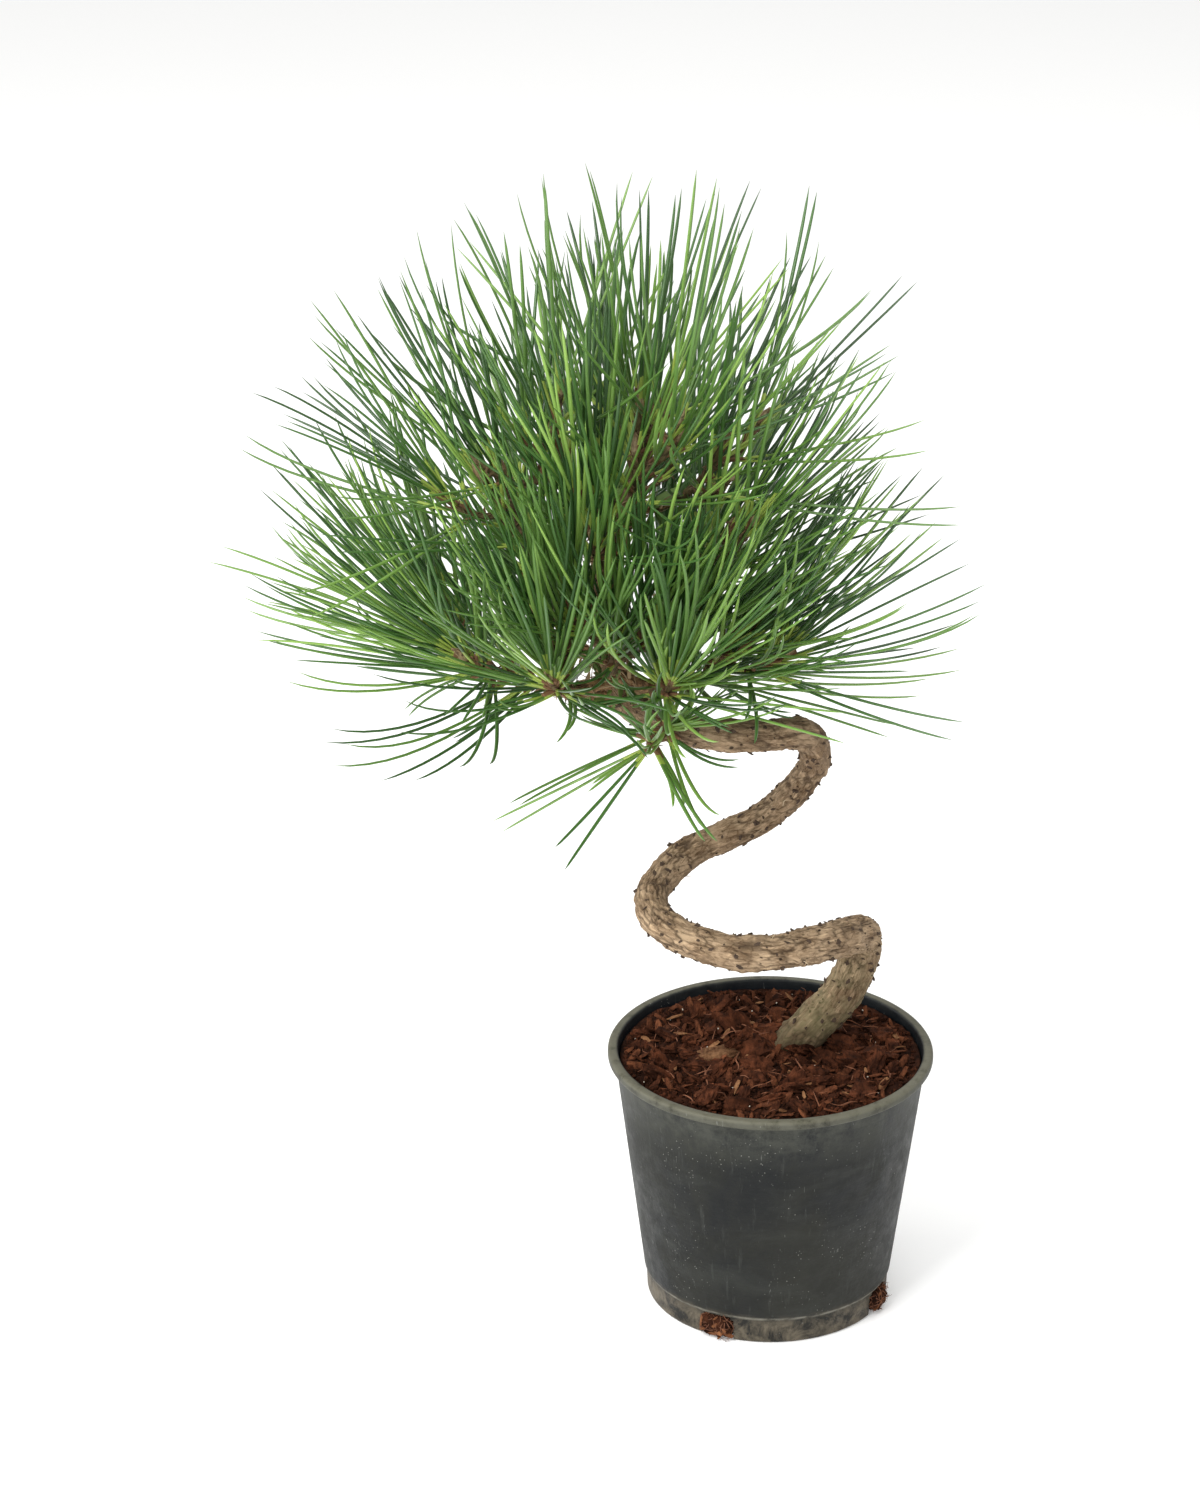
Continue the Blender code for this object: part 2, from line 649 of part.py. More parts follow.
class Space:
    """What is already in the crown, so that a needle is placed only where there is room."""

    def __init__(self, trunk, masses):
        starts, ends, radii, owners = [], [], [], []
        limbs = [(trunk, 0.0, trunk.length, -1)]
        for number, mass in enumerate(masses):
            if mass.has_bough:
                limbs.append((mass.limb, 0.0, mass.joint, -1))
            limbs.append((mass.limb, mass.joint, mass.limb.length, number))
            limbs += [(twig, 0.0, twig.length, number) for twig in mass.twigs[1:]]
        for limb, first, last, owner in limbs:
            points, widths = limb.stretch(first, last, 4.0 * MM)
            a, b = segments_of(points)
            starts.append(a)
            ends.append(b)
            radii += widths[:-1]
            owners += [owner] * len(a)
        self.starts = np.concatenate(starts)
        self.ends = np.concatenate(ends)
        self.radii = np.array(radii)
        self.owners = np.array(owners)
        self.needle_starts = np.zeros((0, 3))
        self.needle_ends = np.zeros((0, 3))
        self.needle_owners = np.zeros(0, int)

    def has_room(self, needle, owner, slack):
        """True where a needle stays nearer its own twigs and clear of everything else's."""
        root, knee, tip = needle
        count = 28
        bent = int(count * NEEDLE_BEND)
        samples = [root.lerp(knee, (i + 1) / bent) for i in range(bent)]
        samples += [knee.lerp(tip, (i + 1) / (count - bent)) for i in range(count - bent)]
        rows = np.array([tuple(p) for p in samples])
        away = nearest(rows, self.starts, self.ends)
        own = self.owners == owner
        twigs = self.owners >= 0
        outer = rows.shape[0] * 2 // 5
        other = away[outer:][:, twigs & ~own].min(axis=1)
        if (away[outer:][:, own].min(axis=1) > other + slack).any():
            return False
        free = away - self.radii
        if (free[:, ~own] < CLEAR_OF_LIMBS * MM).any():
            return False
        if (free[9:][:, own] < CLEAR_OF_LIMBS * MM).any():
            return False
        foreign = self.needle_owners != owner
        if foreign.any():
            apart = nearest(rows, self.needle_starts[foreign], self.needle_ends[foreign])
            if (apart < CLEAR_OF_NEEDLES * MM).any():
                return False
        if not foreign.all():
            apart = nearest(rows[3:], self.needle_starts[~foreign], self.needle_ends[~foreign])
            if (apart < CLEAR_OF_OWN * MM).any():
                return False
        return True

    def add(self, needle, owner):
        """Take up the room of one needle."""
        a, b = segments_of(needle)
        self.needle_starts = np.concatenate([self.needle_starts, a])
        self.needle_ends = np.concatenate([self.needle_ends, b])
        self.needle_owners = np.concatenate([self.needle_owners, [owner, owner]])


def grow_crown(trunk):
    """All masses, with the needles that have room, dealt out mass by mass in turn."""
    masses = [Mass(row, trunk) for row in CROWN]
    space = Space(trunk, masses)
    queues = [list(mass.needle_pairs()) for mass in masses]
    for turn in range(max(len(queue) for queue in queues)):
        for owner, queue in enumerate(queues):
            if turn >= len(queue):
                continue
            twig, along, t, k, rng = queue[-1 - turn]
            for needle in needle_lines(masses[owner], twig, along, t, k, rng):
                if space.has_room(needle, owner, SPACE_SLACK * MM):
                    space.add(needle, owner)
                    masses[owner].needles.append(needle)
                    break
    return masses


def needle_mesh(name, needle):
    """One needle: a three-sided cone, cut across at its bend, widened there and bent."""
    root, knee, tip = needle
    aim = knee - root
    length = aim.length + (tip - knee).length
    bm = bmesh.new()
    bmesh.ops.create_cone(bm, cap_ends=True, segments=3, radius1=NEEDLE_ROOT * MM,
                          radius2=0.0, depth=length,
                          matrix=Matrix.Translation((0.0, 0.0, length / 2)))
    geometry = [*bm.verts, *bm.edges, *bm.faces]
    bmesh.ops.bisect_plane(bm, geom=geometry, dist=0.001 * MM,
                           plane_co=(0.0, 0.0, aim.length), plane_no=(0.0, 0.0, 1.0))
    turn = UP.rotation_difference(aim.normalized()).to_matrix()
    waist = NEEDLE_RADIUS * MM
    for vert in bm.verts:
        level = vert.co.z
        if level > length - 0.01 * MM:
            vert.co = tip
        elif level > 0.5 * aim.length:
            flat = Vector((vert.co.x, vert.co.y, 0.0)).normalized() * waist
            vert.co = root + turn @ (flat + UP * level)
        else:
            vert.co = root + turn @ vert.co
    mesh = bpy.data.meshes.new(name)
    bm.to_mesh(mesh)
    bm.free()
    return mesh


def make_mass(mass, parts, trunk_cutter):
    """One bough and its needle mass, fused from its stem, side twigs and needles."""
    if mass.has_bough:
        points, radii = mass.limb.stretch(0.0, mass.joint, TWIG_STEP * MM, False, True)
        name = f"bough_{mass.name}"
        bough = mesh_object(name, limb_mesh(name, points, radii, 1), parts, "bough")
        boolean(bough, "DIFFERENCE", trunk_cutter)
        bough.data.shade_smooth()
        bough.data.set_sharp_from_angle(angle=math.radians(60))
    tip = mass.limb.length
    points, radii = mass.limb.stretch(mass.joint, tip, TWIG_STEP * MM, mass.has_bough)
    name = f"needles_{mass.name}"
    stem = mesh_object(name, limb_mesh(name, points, radii, 0), parts, "needles")
    if not mass.has_bough:
        boolean(stem, "DIFFERENCE", trunk_cutter)
    group = new_collection(f"{name}_shoots")
    for number, twig in enumerate(mass.twigs[1:]):
        points, radii = twig.stretch(0.0, twig.length, TWIG_STEP * MM)
        label = f"{name}_twig_{number}"
        mesh_object(label, limb_mesh(label, points, radii, 0), group)
    for number, needle in enumerate(mass.needles):
        label = f"{name}_needle_{number}"
        mesh_object(label, needle_mesh(label, needle), group)
    boolean(stem, "UNION", group=group)
    for item in list(group.objects):
        discard(item)
    bpy.data.collections.remove(group)
    stem.data.shade_flat()
    return stem


def inflated_trunk(trunk, cutters):
    """The trunk grown by the gap that boughs keep to it, rounder than the trunk's own facets."""
    points, radii = trunk.stretch(0.0, trunk.length, 4.0 * MM)
    points[-1] = trunk.points[-1] + trunk.heading(trunk.length) * GAP
    grown = [radius / math.cos(math.pi / CUTTER_SIDES) + CUTTER_GAP * MM for radius in radii]
    rounding = (CUTTER_SIDES - 4) // 2
    mesh = limb_mesh("trunk_clearance", points, grown, rounding)
    return mesh_object("trunk_clearance", mesh, cutters)


def main():
    for item in list(bpy.data.objects):
        bpy.data.objects.remove(item, do_unlink=True)
    parts = new_collection("potted_black_pine")
    cutters = new_collection("cutters")
    trunk = trunk_path()
    make_pot(parts, cutters)
    make_soil(parts, cutters, foot_centre(trunk))
    for number, bearing in enumerate(NOTCH_BEARINGS, 1):
        make_plug(number, bearing, parts)
    make_trunk(trunk, parts)
    cutter = inflated_trunk(trunk, cutters)
    for mass in grow_crown(trunk):
        make_mass(mass, parts, cutter)
    discard(cutter)
    bpy.data.collections.remove(cutters)


main()
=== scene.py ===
"""Looks of a potted Japanese black pine: corkscrew trunk, needle crown, nursery pot and peat.

Metres, +Z up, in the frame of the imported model. Sizes in the tables are millimetres and degrees.
"""

import json
import math
import random

import bmesh
import bpy
import numpy as np
from mathutils import Matrix, Vector, noise

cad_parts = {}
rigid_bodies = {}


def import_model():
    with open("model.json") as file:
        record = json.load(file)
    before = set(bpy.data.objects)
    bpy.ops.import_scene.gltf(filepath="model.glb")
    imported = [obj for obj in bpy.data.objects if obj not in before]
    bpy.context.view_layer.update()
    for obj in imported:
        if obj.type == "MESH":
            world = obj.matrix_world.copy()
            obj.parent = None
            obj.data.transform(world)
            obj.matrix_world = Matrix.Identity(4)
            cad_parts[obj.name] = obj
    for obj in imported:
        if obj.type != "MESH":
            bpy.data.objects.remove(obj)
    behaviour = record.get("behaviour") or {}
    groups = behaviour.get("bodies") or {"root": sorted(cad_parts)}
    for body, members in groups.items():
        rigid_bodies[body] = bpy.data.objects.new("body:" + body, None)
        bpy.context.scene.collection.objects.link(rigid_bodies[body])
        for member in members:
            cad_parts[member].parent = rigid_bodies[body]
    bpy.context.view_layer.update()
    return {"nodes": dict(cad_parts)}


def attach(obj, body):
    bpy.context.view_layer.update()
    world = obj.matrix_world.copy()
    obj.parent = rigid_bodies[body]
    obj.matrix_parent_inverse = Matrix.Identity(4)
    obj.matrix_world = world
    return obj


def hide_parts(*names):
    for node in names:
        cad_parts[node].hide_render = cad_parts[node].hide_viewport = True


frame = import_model()

MM = 0.001
UP = Vector((0.0, 0.0, 1.0))

# Pot
RIM_RADIUS = 60.0
POT_HEIGHT = 99.5
LIP_WIDTH = 3.9
LIP_DEPTH = 3.4
WALL = 1.2
FOOT_RADIUS = 45.4
FOOT_HEIGHT = 10.5
FOOT_STEP = 0.7
FLOOR = 1.6
POT_SIDES = 144
NOTCH_WIDTH = 13.0
NOTCH_HEIGHT = 9.6
NOTCH_DEPTH = 8.5
NOTCH_BEARINGS = (244.0, 334.0, 64.0, 154.0)

# Peat
SOIL_LEVEL = 95.3
SOIL_RADIUS = 55.3
BIG_CHIP = (-19.0, -3.0)

# Trunk: (bearing round the stick, distance from the stick, height, thickness)
STICK_X = -12.0
TRUNK_STATIONS = (
    (31.4, 21.1, 90.0, 17.0),
    (24.0, 29.5, 101.0, 15.4),
    (12.5, 40.6, 119.5, 14.6),
    (1.0, 45.0, 144.0, 14.4),
    (-38.0, 38.0, 153.0, 13.4),
    (-86.0, 36.0, 155.0, 12.8),
    (-135.0, 33.0, 156.6, 12.4),
    (-180.0, 32.2, 160.0, 12.0),
    (-230.0, 29.0, 167.3, 11.7),
    (-288.0, 29.4, 179.7, 11.3),
    (-334.0, 29.0, 206.5, 11.0),
    (-380.0, 23.6, 228.0, 11.2),
    (-425.0, 19.2, 231.4, 11.4),
    (-470.0, 21.5, 233.2, 11.2),
    (-510.0, 31.5, 235.2, 10.6),
    (-537.0, 42.6, 239.0, 9.6),
    (-540.0, 46.5, 251.0, 7.4),
    (-540.0, 51.5, 266.0, 6.3),
    (-540.0, 48.7, 284.0, 5.6),
    (-540.0, 43.5, 306.0, 4.9),
    (-540.0, 39.0, 322.0, 4.4),
)
SURFACE_ROOTS = ((226.0, 9.0, 17.0), (300.0, 0.8, 26.0), (15.0, 1.2, 26.0),
                 (88.0, 1.5, 26.0), (160.0, 1.5, 22.0))

# Crown: name, height, bearing, reach and lift of the bough, then bearing, reach and lift of
# the mass's stem, the turn of its first side twig, how thickly it is needled, how far its
# needles are steered up, and their length
CROWN = (
    ("low_left", 239.5, 181.0, 25.0, 4.5, 184.0, 43.0, 21.0, 200.0, 1.25, 0.25, 84.0),
    ("low_right", 240.5, 350.0, 23.0, 6.0, 358.0, 22.0, 17.0, 300.0, 1.1, 0.25, 84.0),
    ("low_tuft", 235.6, 275.0, 0.0, 0.0, 290.0, 11.0, 3.0, 40.0, 0.25, -0.50, 68.0),
    ("low_front_left", 246.0, 229.0, 22.0, 1.0, 232.0, 13.0, 22.0, 120.0, 1.5, 0.45, 84.0),
    ("low_front_right", 247.0, 310.0, 21.0, 2.0, 306.0, 12.0, 20.0, 60.0, 1.5, 0.45, 84.0),
    ("low_front", 253.5, 274.0, 16.0, 3.0, 276.0, 10.0, 18.0, 200.0, 1.5, 0.50, 84.0),
    ("low_back_left", 247.5, 128.0, 20.0, 5.0, 132.0, 28.0, 24.0, 100.0, 0.7, 0.25, 84.0),
    ("low_back_right", 255.0, 48.0, 22.0, 6.0, 42.0, 26.0, 22.0, 250.0, 0.7, 0.25, 84.0),
    ("mid_left", 272.0, 180.0, 19.0, 20.0, 182.0, 22.0, 30.0, 330.0, 0.70, 0.25, 86.0),
    ("mid_front", 278.0, 272.0, 15.0, 12.0, 270.0, 6.0, 28.0, 80.0, 0.95, 0.30, 84.0),
    ("mid_right", 260.0, 350.0, 26.0, 20.0, 352.0, 20.0, 28.0, 250.0, 0.65, 0.25, 84.0),
    ("mid_back", 277.0, 96.0, 17.0, 10.0, 92.0, 24.0, 30.0, 60.0, 0.65, 0.25, 84.0),
    ("top_left", 297.0, 166.0, 20.0, 14.0, 168.0, 14.0, 24.0, 140.0, 0.45, 0.20, 86.0),
    ("top_front", 302.0, 290.0, 15.0, 12.0, 280.0, 5.0, 24.0, 200.0, 0.55, 0.25, 84.0),
    ("top_right", 309.0, 352.0, 17.0, 5.0, 352.0, 18.0, 22.0, 20.0, 0.45, 0.20, 84.0),
    ("top_back", 305.0, 72.0, 13.0, 6.0, 66.0, 16.0, 22.0, 120.0, 0.45, 0.20, 84.0),
    ("top_tip", 322.0, 90.0, 0.0, 0.0, 60.0, 4.0, 24.0, 180.0, 0.50, 0.20, 86.0),
)
CROWN_HEART = (-58.0, 0.0, 254.0)
BOUGH_BASE = 2.8
BOUGH_SHARE = 0.84
BOUGH_TAPER = 0.80
STEM_TIP = 1.3
SIDE_TWIGS = 2
SIDE_TWIG_LENGTH = 23.0
SIDE_TWIG_ANGLE = 52.0
TWIG_CLEAR = 3.0
NEEDLE_BEND = 0.56
SPREAD_LOW = 76.0
SPREAD_TIP = 12.0
DROOP = 0.4
GOLDEN_TURN = 137.508
STEM_PAIRS = 22
SIDE_PAIRS = 11
BARE_STEM = 3.5
BARE_ON_TRUNK = 8.5
TRIES = ((0.0, 1.0), (0.35, 1.0), (0.75, 1.0), (0.0, 0.7), (0.5, 0.7), (1.1, 0.85))

# How close needles may come: slack into other masses' space, then the distances to keep from
# other masses' needles, from the mass's own needles and from limbs
MAIN_ROOM = (36.0, 3.1, 2.2, 1.9)
FILL_ROOM = (40.0, 1.3, 0.9, 1.0)
FILL_SHARE = 0.8
FILL_FROM = 0.45
SHORT_ROOM = (40.0, 1.1, 0.8, 0.6)
SHORT_FULLNESS = 0.7
SHORT_LENGTH = 34.0
TUFT_ROOM = (44.0, 1.6, 1.4, 0.9)
TUFT_FULLNESS = 0.5

# Needle pairs: half width of a needle, half the angle between a pair, sheath
NEEDLE_HALF_WIDTH = 0.78
PAIR_ANGLE = 3.2
SHEATH_LENGTH = 7.0
SHEATH_RADIUS = 0.95
FOOT_SHARE = 0.17
SWAY = 4.5
GREENS = (
    ("needles_dark", (0.028, 0.078, 0.016), 0.20),
    ("needles_deep", (0.048, 0.125, 0.022), 0.28),
    ("needles_mid", (0.090, 0.190, 0.034), 0.28),
    ("needles_bright", (0.150, 0.280, 0.050), 0.17),
    ("needles_young", (0.230, 0.390, 0.075), 0.07),
)
YOUNG_MASSES = ("top_front", "low_tuft")


class Limb:
    """A smooth path through stations, each a point and a radius, in metres."""

    def __init__(self, stations, finer=16):
        spots = [Vector(point) for point, _ in stations]
        widths = [radius for _, radius in stations]
        spots = [2 * spots[0] - spots[1], *spots, 2 * spots[-1] - spots[-2]]
        widths = [widths[0], *widths, widths[-1]]
        self.points = []
        self.radii = []
        for i in range(1, len(spots) - 2):
            for j in range(finer):
                t = j / finer
                self.points.append(self.between(spots[i - 1:i + 3], t))
                self.radii.append(self.between(widths[i - 1:i + 3], t))
        self.points.append(spots[-2])
        self.radii.append(widths[-2])
        self.lengths = [0.0]
        for a, b in zip(self.points, self.points[1:]):
            self.lengths.append(self.lengths[-1] + (b - a).length)
        self.length = self.lengths[-1]
        self.marks = self.lengths[::finer]

    @staticmethod
    def between(four, t):
        """Catmull-Rom between the middle two of four values."""
        a, b, c, d = four
        return 0.5 * (2 * b + (c - a) * t + (2 * a - 5 * b + 4 * c - d) * t ** 2
                      + (3 * b - a - 3 * c + d) * t ** 3)

    def at(self, along):
        """The point and the radius at a length along the path."""
        along = min(max(along, 0.0), self.length)
        i = min(int(np.searchsorted(self.lengths, along, side="right")) - 1, len(self.points) - 2)
        span = self.lengths[i + 1] - self.lengths[i]
        t = (along - self.lengths[i]) / span
        radius = self.radii[i] * (1 - t) + self.radii[i + 1] * t
        return self.points[i].lerp(self.points[i + 1], t), radius

    def heading(self, along):
        """The unit direction of the path at a length along it."""
        ahead = self.at(along + 0.5 * MM)[0]
        behind = self.at(along - 0.5 * MM)[0]
        return (ahead - behind).normalized()

    def length_at_height(self, height):
        """The length along the path where it first reaches a height."""
        for i, point in enumerate(self.points):
            if point.z >= height:
                return self.lengths[i]
        return self.length

    def away(self, spot):
        """How far a spot is from the limb's surface."""
        return min((spot - p).length - r for p, r in zip(self.points, self.radii))

    def spots(self, start, end, step):
        """Evenly spaced points and radii from one length along the path to another."""
        count = max(2, round((end - start) / step) + 1)
        found = [self.at(start + (end - start) * i / (count - 1)) for i in range(count)]
        return [point for point, _ in found], [radius for _, radius in found]


def compass(bearing):
    """The level unit vector at a bearing, counted from +X towards +Y."""
    angle = math.radians(bearing)
    return Vector((math.cos(angle), math.sin(angle), 0.0))


def trunk_path():
    """The whole trunk from below the soil to the leader's end."""
    stick = Vector((STICK_X * MM, 0.0, 0.0))
    stations = []
    for bearing, distance, height, thickness in TRUNK_STATIONS:
        point = stick + compass(bearing) * distance * MM + UP * height * MM
        stations.append((point, thickness * MM / 2))
    return Limb(stations)


class Mass:
    """One bough and the stem, side twigs and needle pairs that grow on from it."""

    def __init__(self, row, trunk):
        (self.name, height, bearing, reach, lift,
         stem_bearing, stem_reach, stem_lift, self.first_turn, self.fullness,
         self.rise, self.needle_length) = row
        start, parent = trunk.at(trunk.length_at_height(height * MM))
        base = min(BOUGH_BASE * MM, BOUGH_SHARE * parent)
        end = base * BOUGH_TAPER
        node = start + compass(bearing) * reach * MM + UP * lift * MM
        tip = node + compass(stem_bearing) * stem_reach * MM + UP * stem_lift * MM
        knee = node.lerp(tip, 0.5) - UP * 2.5 * MM + compass(stem_bearing) * 1.5 * MM
        self.has_bough = reach > 0.0
        stations = [(node, end), (knee, (end + STEM_TIP * MM) / 2), (tip, STEM_TIP * MM)]
        if self.has_bough:
            elbow = start.lerp(node, 0.5) - UP * lift * 0.12 * MM
            stations = [(start, base), (elbow, (base + end) / 2), *stations]
        self.limb = Limb(stations)
        self.joint = self.limb.marks[2] if self.has_bough else 0.0
        heart = Vector(CROWN_HEART) * MM
        self.outward = (tip - heart).normalized()
        self.twigs = [self.limb, *self.side_twigs(trunk)]
        self.needles = []

    def bare_to(self):
        """The length along the limb where its first needles and side twigs may stand."""
        return self.joint + (BARE_STEM if self.has_bough else BARE_ON_TRUNK) * MM

    def side_twigs(self, trunk):
        """Side twigs leave the stem in turn, a golden turn apart, and clear of the trunk."""
        made = []
        stem_length = self.limb.length - self.joint
        for number in range(SIDE_TWIGS):
            rng = random.Random(f"{self.name} twig {number}")
            along = self.joint + stem_length * (0.30 + 0.30 * number + rng.uniform(-0.04, 0.04))
            along = max(along, self.bare_to())
            start, radius = self.limb.at(along)
            axis = self.limb.heading(along)
            turn = self.first_turn + number * GOLDEN_TURN + rng.uniform(-12, 12)
            aim = leaning(axis, SIDE_TWIG_ANGLE + rng.uniform(-6, 6), turn)
            length = SIDE_TWIG_LENGTH * MM * rng.uniform(0.85, 1.15)
            knee = start + aim * length * 0.5
            end = start + (aim * 0.86 + axis * 0.18 + UP * 0.18).normalized() * length
            if min(trunk.away(knee), trunk.away(end)) < TWIG_CLEAR * MM:
                continue
            stations = [(start, radius * 0.8), (knee, radius * 0.72), (end, STEM_TIP * 0.85 * MM)]
            made.append(Limb(stations))
        return made

    def needle_pairs(self, share, seed):
        """Every pair of needles that the rule gives, from the foot of each twig to its tip."""
        for twig_number, twig in enumerate(self.twigs):
            stem = twig_number == 0
            count = round((STEM_PAIRS if stem else SIDE_PAIRS) * self.fullness * share)
            start = self.bare_to() if stem else 0.3 * twig.length
            for k in range(count):
                rng = random.Random(f"{self.name} {twig_number} {seed} {k}")
                t = (k + 0.5) / count
                along = start + (twig.length - start) * t
                yield twig, along, t, k, rng


def leaning(axis, angle, turn):
    """A unit vector at an angle to an axis, turned round it."""
    side = axis.cross(UP)
    if side.length < 0.2:
        side = Vector((1.0, 0.0, 0.0)) - axis * axis.x
    side.normalize()
    across = Matrix.Rotation(math.radians(turn), 3, axis) @ side
    tilt = math.radians(angle)
    return axis * math.cos(tilt) + across * math.sin(tilt)


def needle_lines(mass, twig, along, t, k, rng):
    """The middle line of one pair as (root, bend, tip), and the other lines to try in turn."""
    root = twig.at(along)[0]
    axis = twig.heading(along)
    spread = SPREAD_LOW + (SPREAD_TIP - SPREAD_LOW) * t ** 0.75 + rng.uniform(-11, 11)
    aim = leaning(axis, spread, k * GOLDEN_TURN + rng.uniform(-20, 20))
    length = mass.needle_length * MM * rng.uniform(0.88, 1.08)
    bend = axis * rng.uniform(0.05, 0.20) + UP * rng.uniform(0.02, 0.16)
    for steer, shorter in TRIES:
        first = (aim + mass.outward * steer + UP * mass.rise).normalized()
        first.z = max(first.z, mass.rise - DROOP)
        first.normalize()
        second = (first + bend).normalized()
        knee = root + first * length * shorter * NEEDLE_BEND
        yield root, knee, knee + second * length * shorter * (1 - NEEDLE_BEND)


def segments_of(points):
    """Start and end rows of the segments of a polyline."""
    rows = np.array([tuple(p) for p in points])
    return rows[:-1], rows[1:]


def nearest(samples, starts, ends):
    """Distance from each sample point to each segment."""
    line = ends - starts
    reach = samples[:, None, :] - starts[None, :, :]
    t = np.clip((reach * line).sum(2) / (line * line).sum(1), 0.0, 1.0)
    return np.linalg.norm(reach - t[:, :, None] * line, axis=2)


class Space:
    """What is already in the crown, so that a needle is placed only where there is room."""

    def __init__(self, trunk, masses):
        starts, ends, radii, owners = [], [], [], []
        limbs = [(trunk, 0.0, trunk.length, -1)]
        for number, mass in enumerate(masses):
            if mass.has_bough:
                limbs.append((mass.limb, 0.0, mass.joint, -1))
            limbs.append((mass.limb, mass.joint, mass.limb.length, number))
            limbs += [(twig, 0.0, twig.length, number) for twig in mass.twigs[1:]]
        for limb, first, last, owner in limbs:
            points, widths = limb.spots(first, last, 4.0 * MM)
            a, b = segments_of(points)
            starts.append(a)
            ends.append(b)
            radii += widths[:-1]
            owners += [owner] * len(a)
        self.starts = np.concatenate(starts)
        self.ends = np.concatenate(ends)
        self.radii = np.array(radii)
        self.owners = np.array(owners)
        self.needle_starts = np.zeros((0, 3))
        self.needle_ends = np.zeros((0, 3))
        self.needle_owners = np.zeros(0, int)

    def has_room(self, needle, owner, room):
        """True where a needle stays nearer its own twigs and clear of everything else's."""
        slack, from_others, from_own, from_limbs = (value * MM for value in room)
        root, knee, tip = needle
        count = 28
        bent = int(count * NEEDLE_BEND)
        samples = [root.lerp(knee, (i + 1) / bent) for i in range(bent)]
        samples += [knee.lerp(tip, (i + 1) / (count - bent)) for i in range(count - bent)]
        rows = np.array([tuple(p) for p in samples])
        away = nearest(rows, self.starts, self.ends)
        own = self.owners == owner
        twigs = self.owners >= 0
        outer = rows.shape[0] * 2 // 5
        other = away[outer:][:, twigs & ~own].min(axis=1)
        if (away[outer:][:, own].min(axis=1) > other + slack).any():
            return False
        free = away - self.radii
        if (free[:, ~own] < from_limbs).any():
            return False
        if (free[9:][:, own] < from_limbs).any():
            return False
        foreign = self.needle_owners != owner
        if foreign.any():
            apart = nearest(rows, self.needle_starts[foreign], self.needle_ends[foreign])
            if (apart < from_others).any():
                return False
        if not foreign.all():
            apart = nearest(rows[3:], self.needle_starts[~foreign], self.needle_ends[~foreign])
            if (apart < from_own).any():
                return False
        return True

    def add(self, needle, owner):
        """Take up the room of one needle."""
        a, b = segments_of(needle)
        self.needle_starts = np.concatenate([self.needle_starts, a])
        self.needle_ends = np.concatenate([self.needle_ends, b])
        self.needle_owners = np.concatenate([self.needle_owners, [owner, owner]])


def deal_needles(masses, space, share, seed, room):
    """Give each mass in turn the needles that have room."""
    queues = [list(mass.needle_pairs(share, seed)) for mass in masses]
    for turn in range(max(len(queue) for queue in queues)):
        for owner, queue in enumerate(queues):
            if turn >= len(queue):
                continue
            twig, along, t, k, rng = queue[-1 - turn]
            for needle in needle_lines(masses[owner], twig, along, t, k, rng):
                if space.has_room(needle, owner, room):
                    space.add(needle, owner)
                    masses[owner].needles.append(needle)
                    break


def grow_crown(trunk):
    """All masses, with the needle pairs of the solids first and finer ones between them."""
    masses = [Mass(row, trunk) for row in CROWN]
    space = Space(trunk, masses)
    deal_needles(masses, space, 1.0, "pair", MAIN_ROOM)
    for mass in masses:
        mass.fullness = max(0.0, mass.fullness - FILL_FROM)
    deal_needles(masses, space, FILL_SHARE, "fill", FILL_ROOM)
    tuft = [mass for mass in masses if mass.name == "low_tuft"]
    for mass in tuft:
        mass.fullness = TUFT_FULLNESS
    deal_needles(tuft, space, 1.0, "tuft", TUFT_ROOM)
    low = [mass for mass in masses if mass.name.startswith("low_")]
    for mass in low:
        mass.fullness = SHORT_FULLNESS
        mass.needle_length = SHORT_LENGTH
        mass.rise = 0.0
    deal_needles(low, space, 1.0, "short", SHORT_ROOM)
    return masses


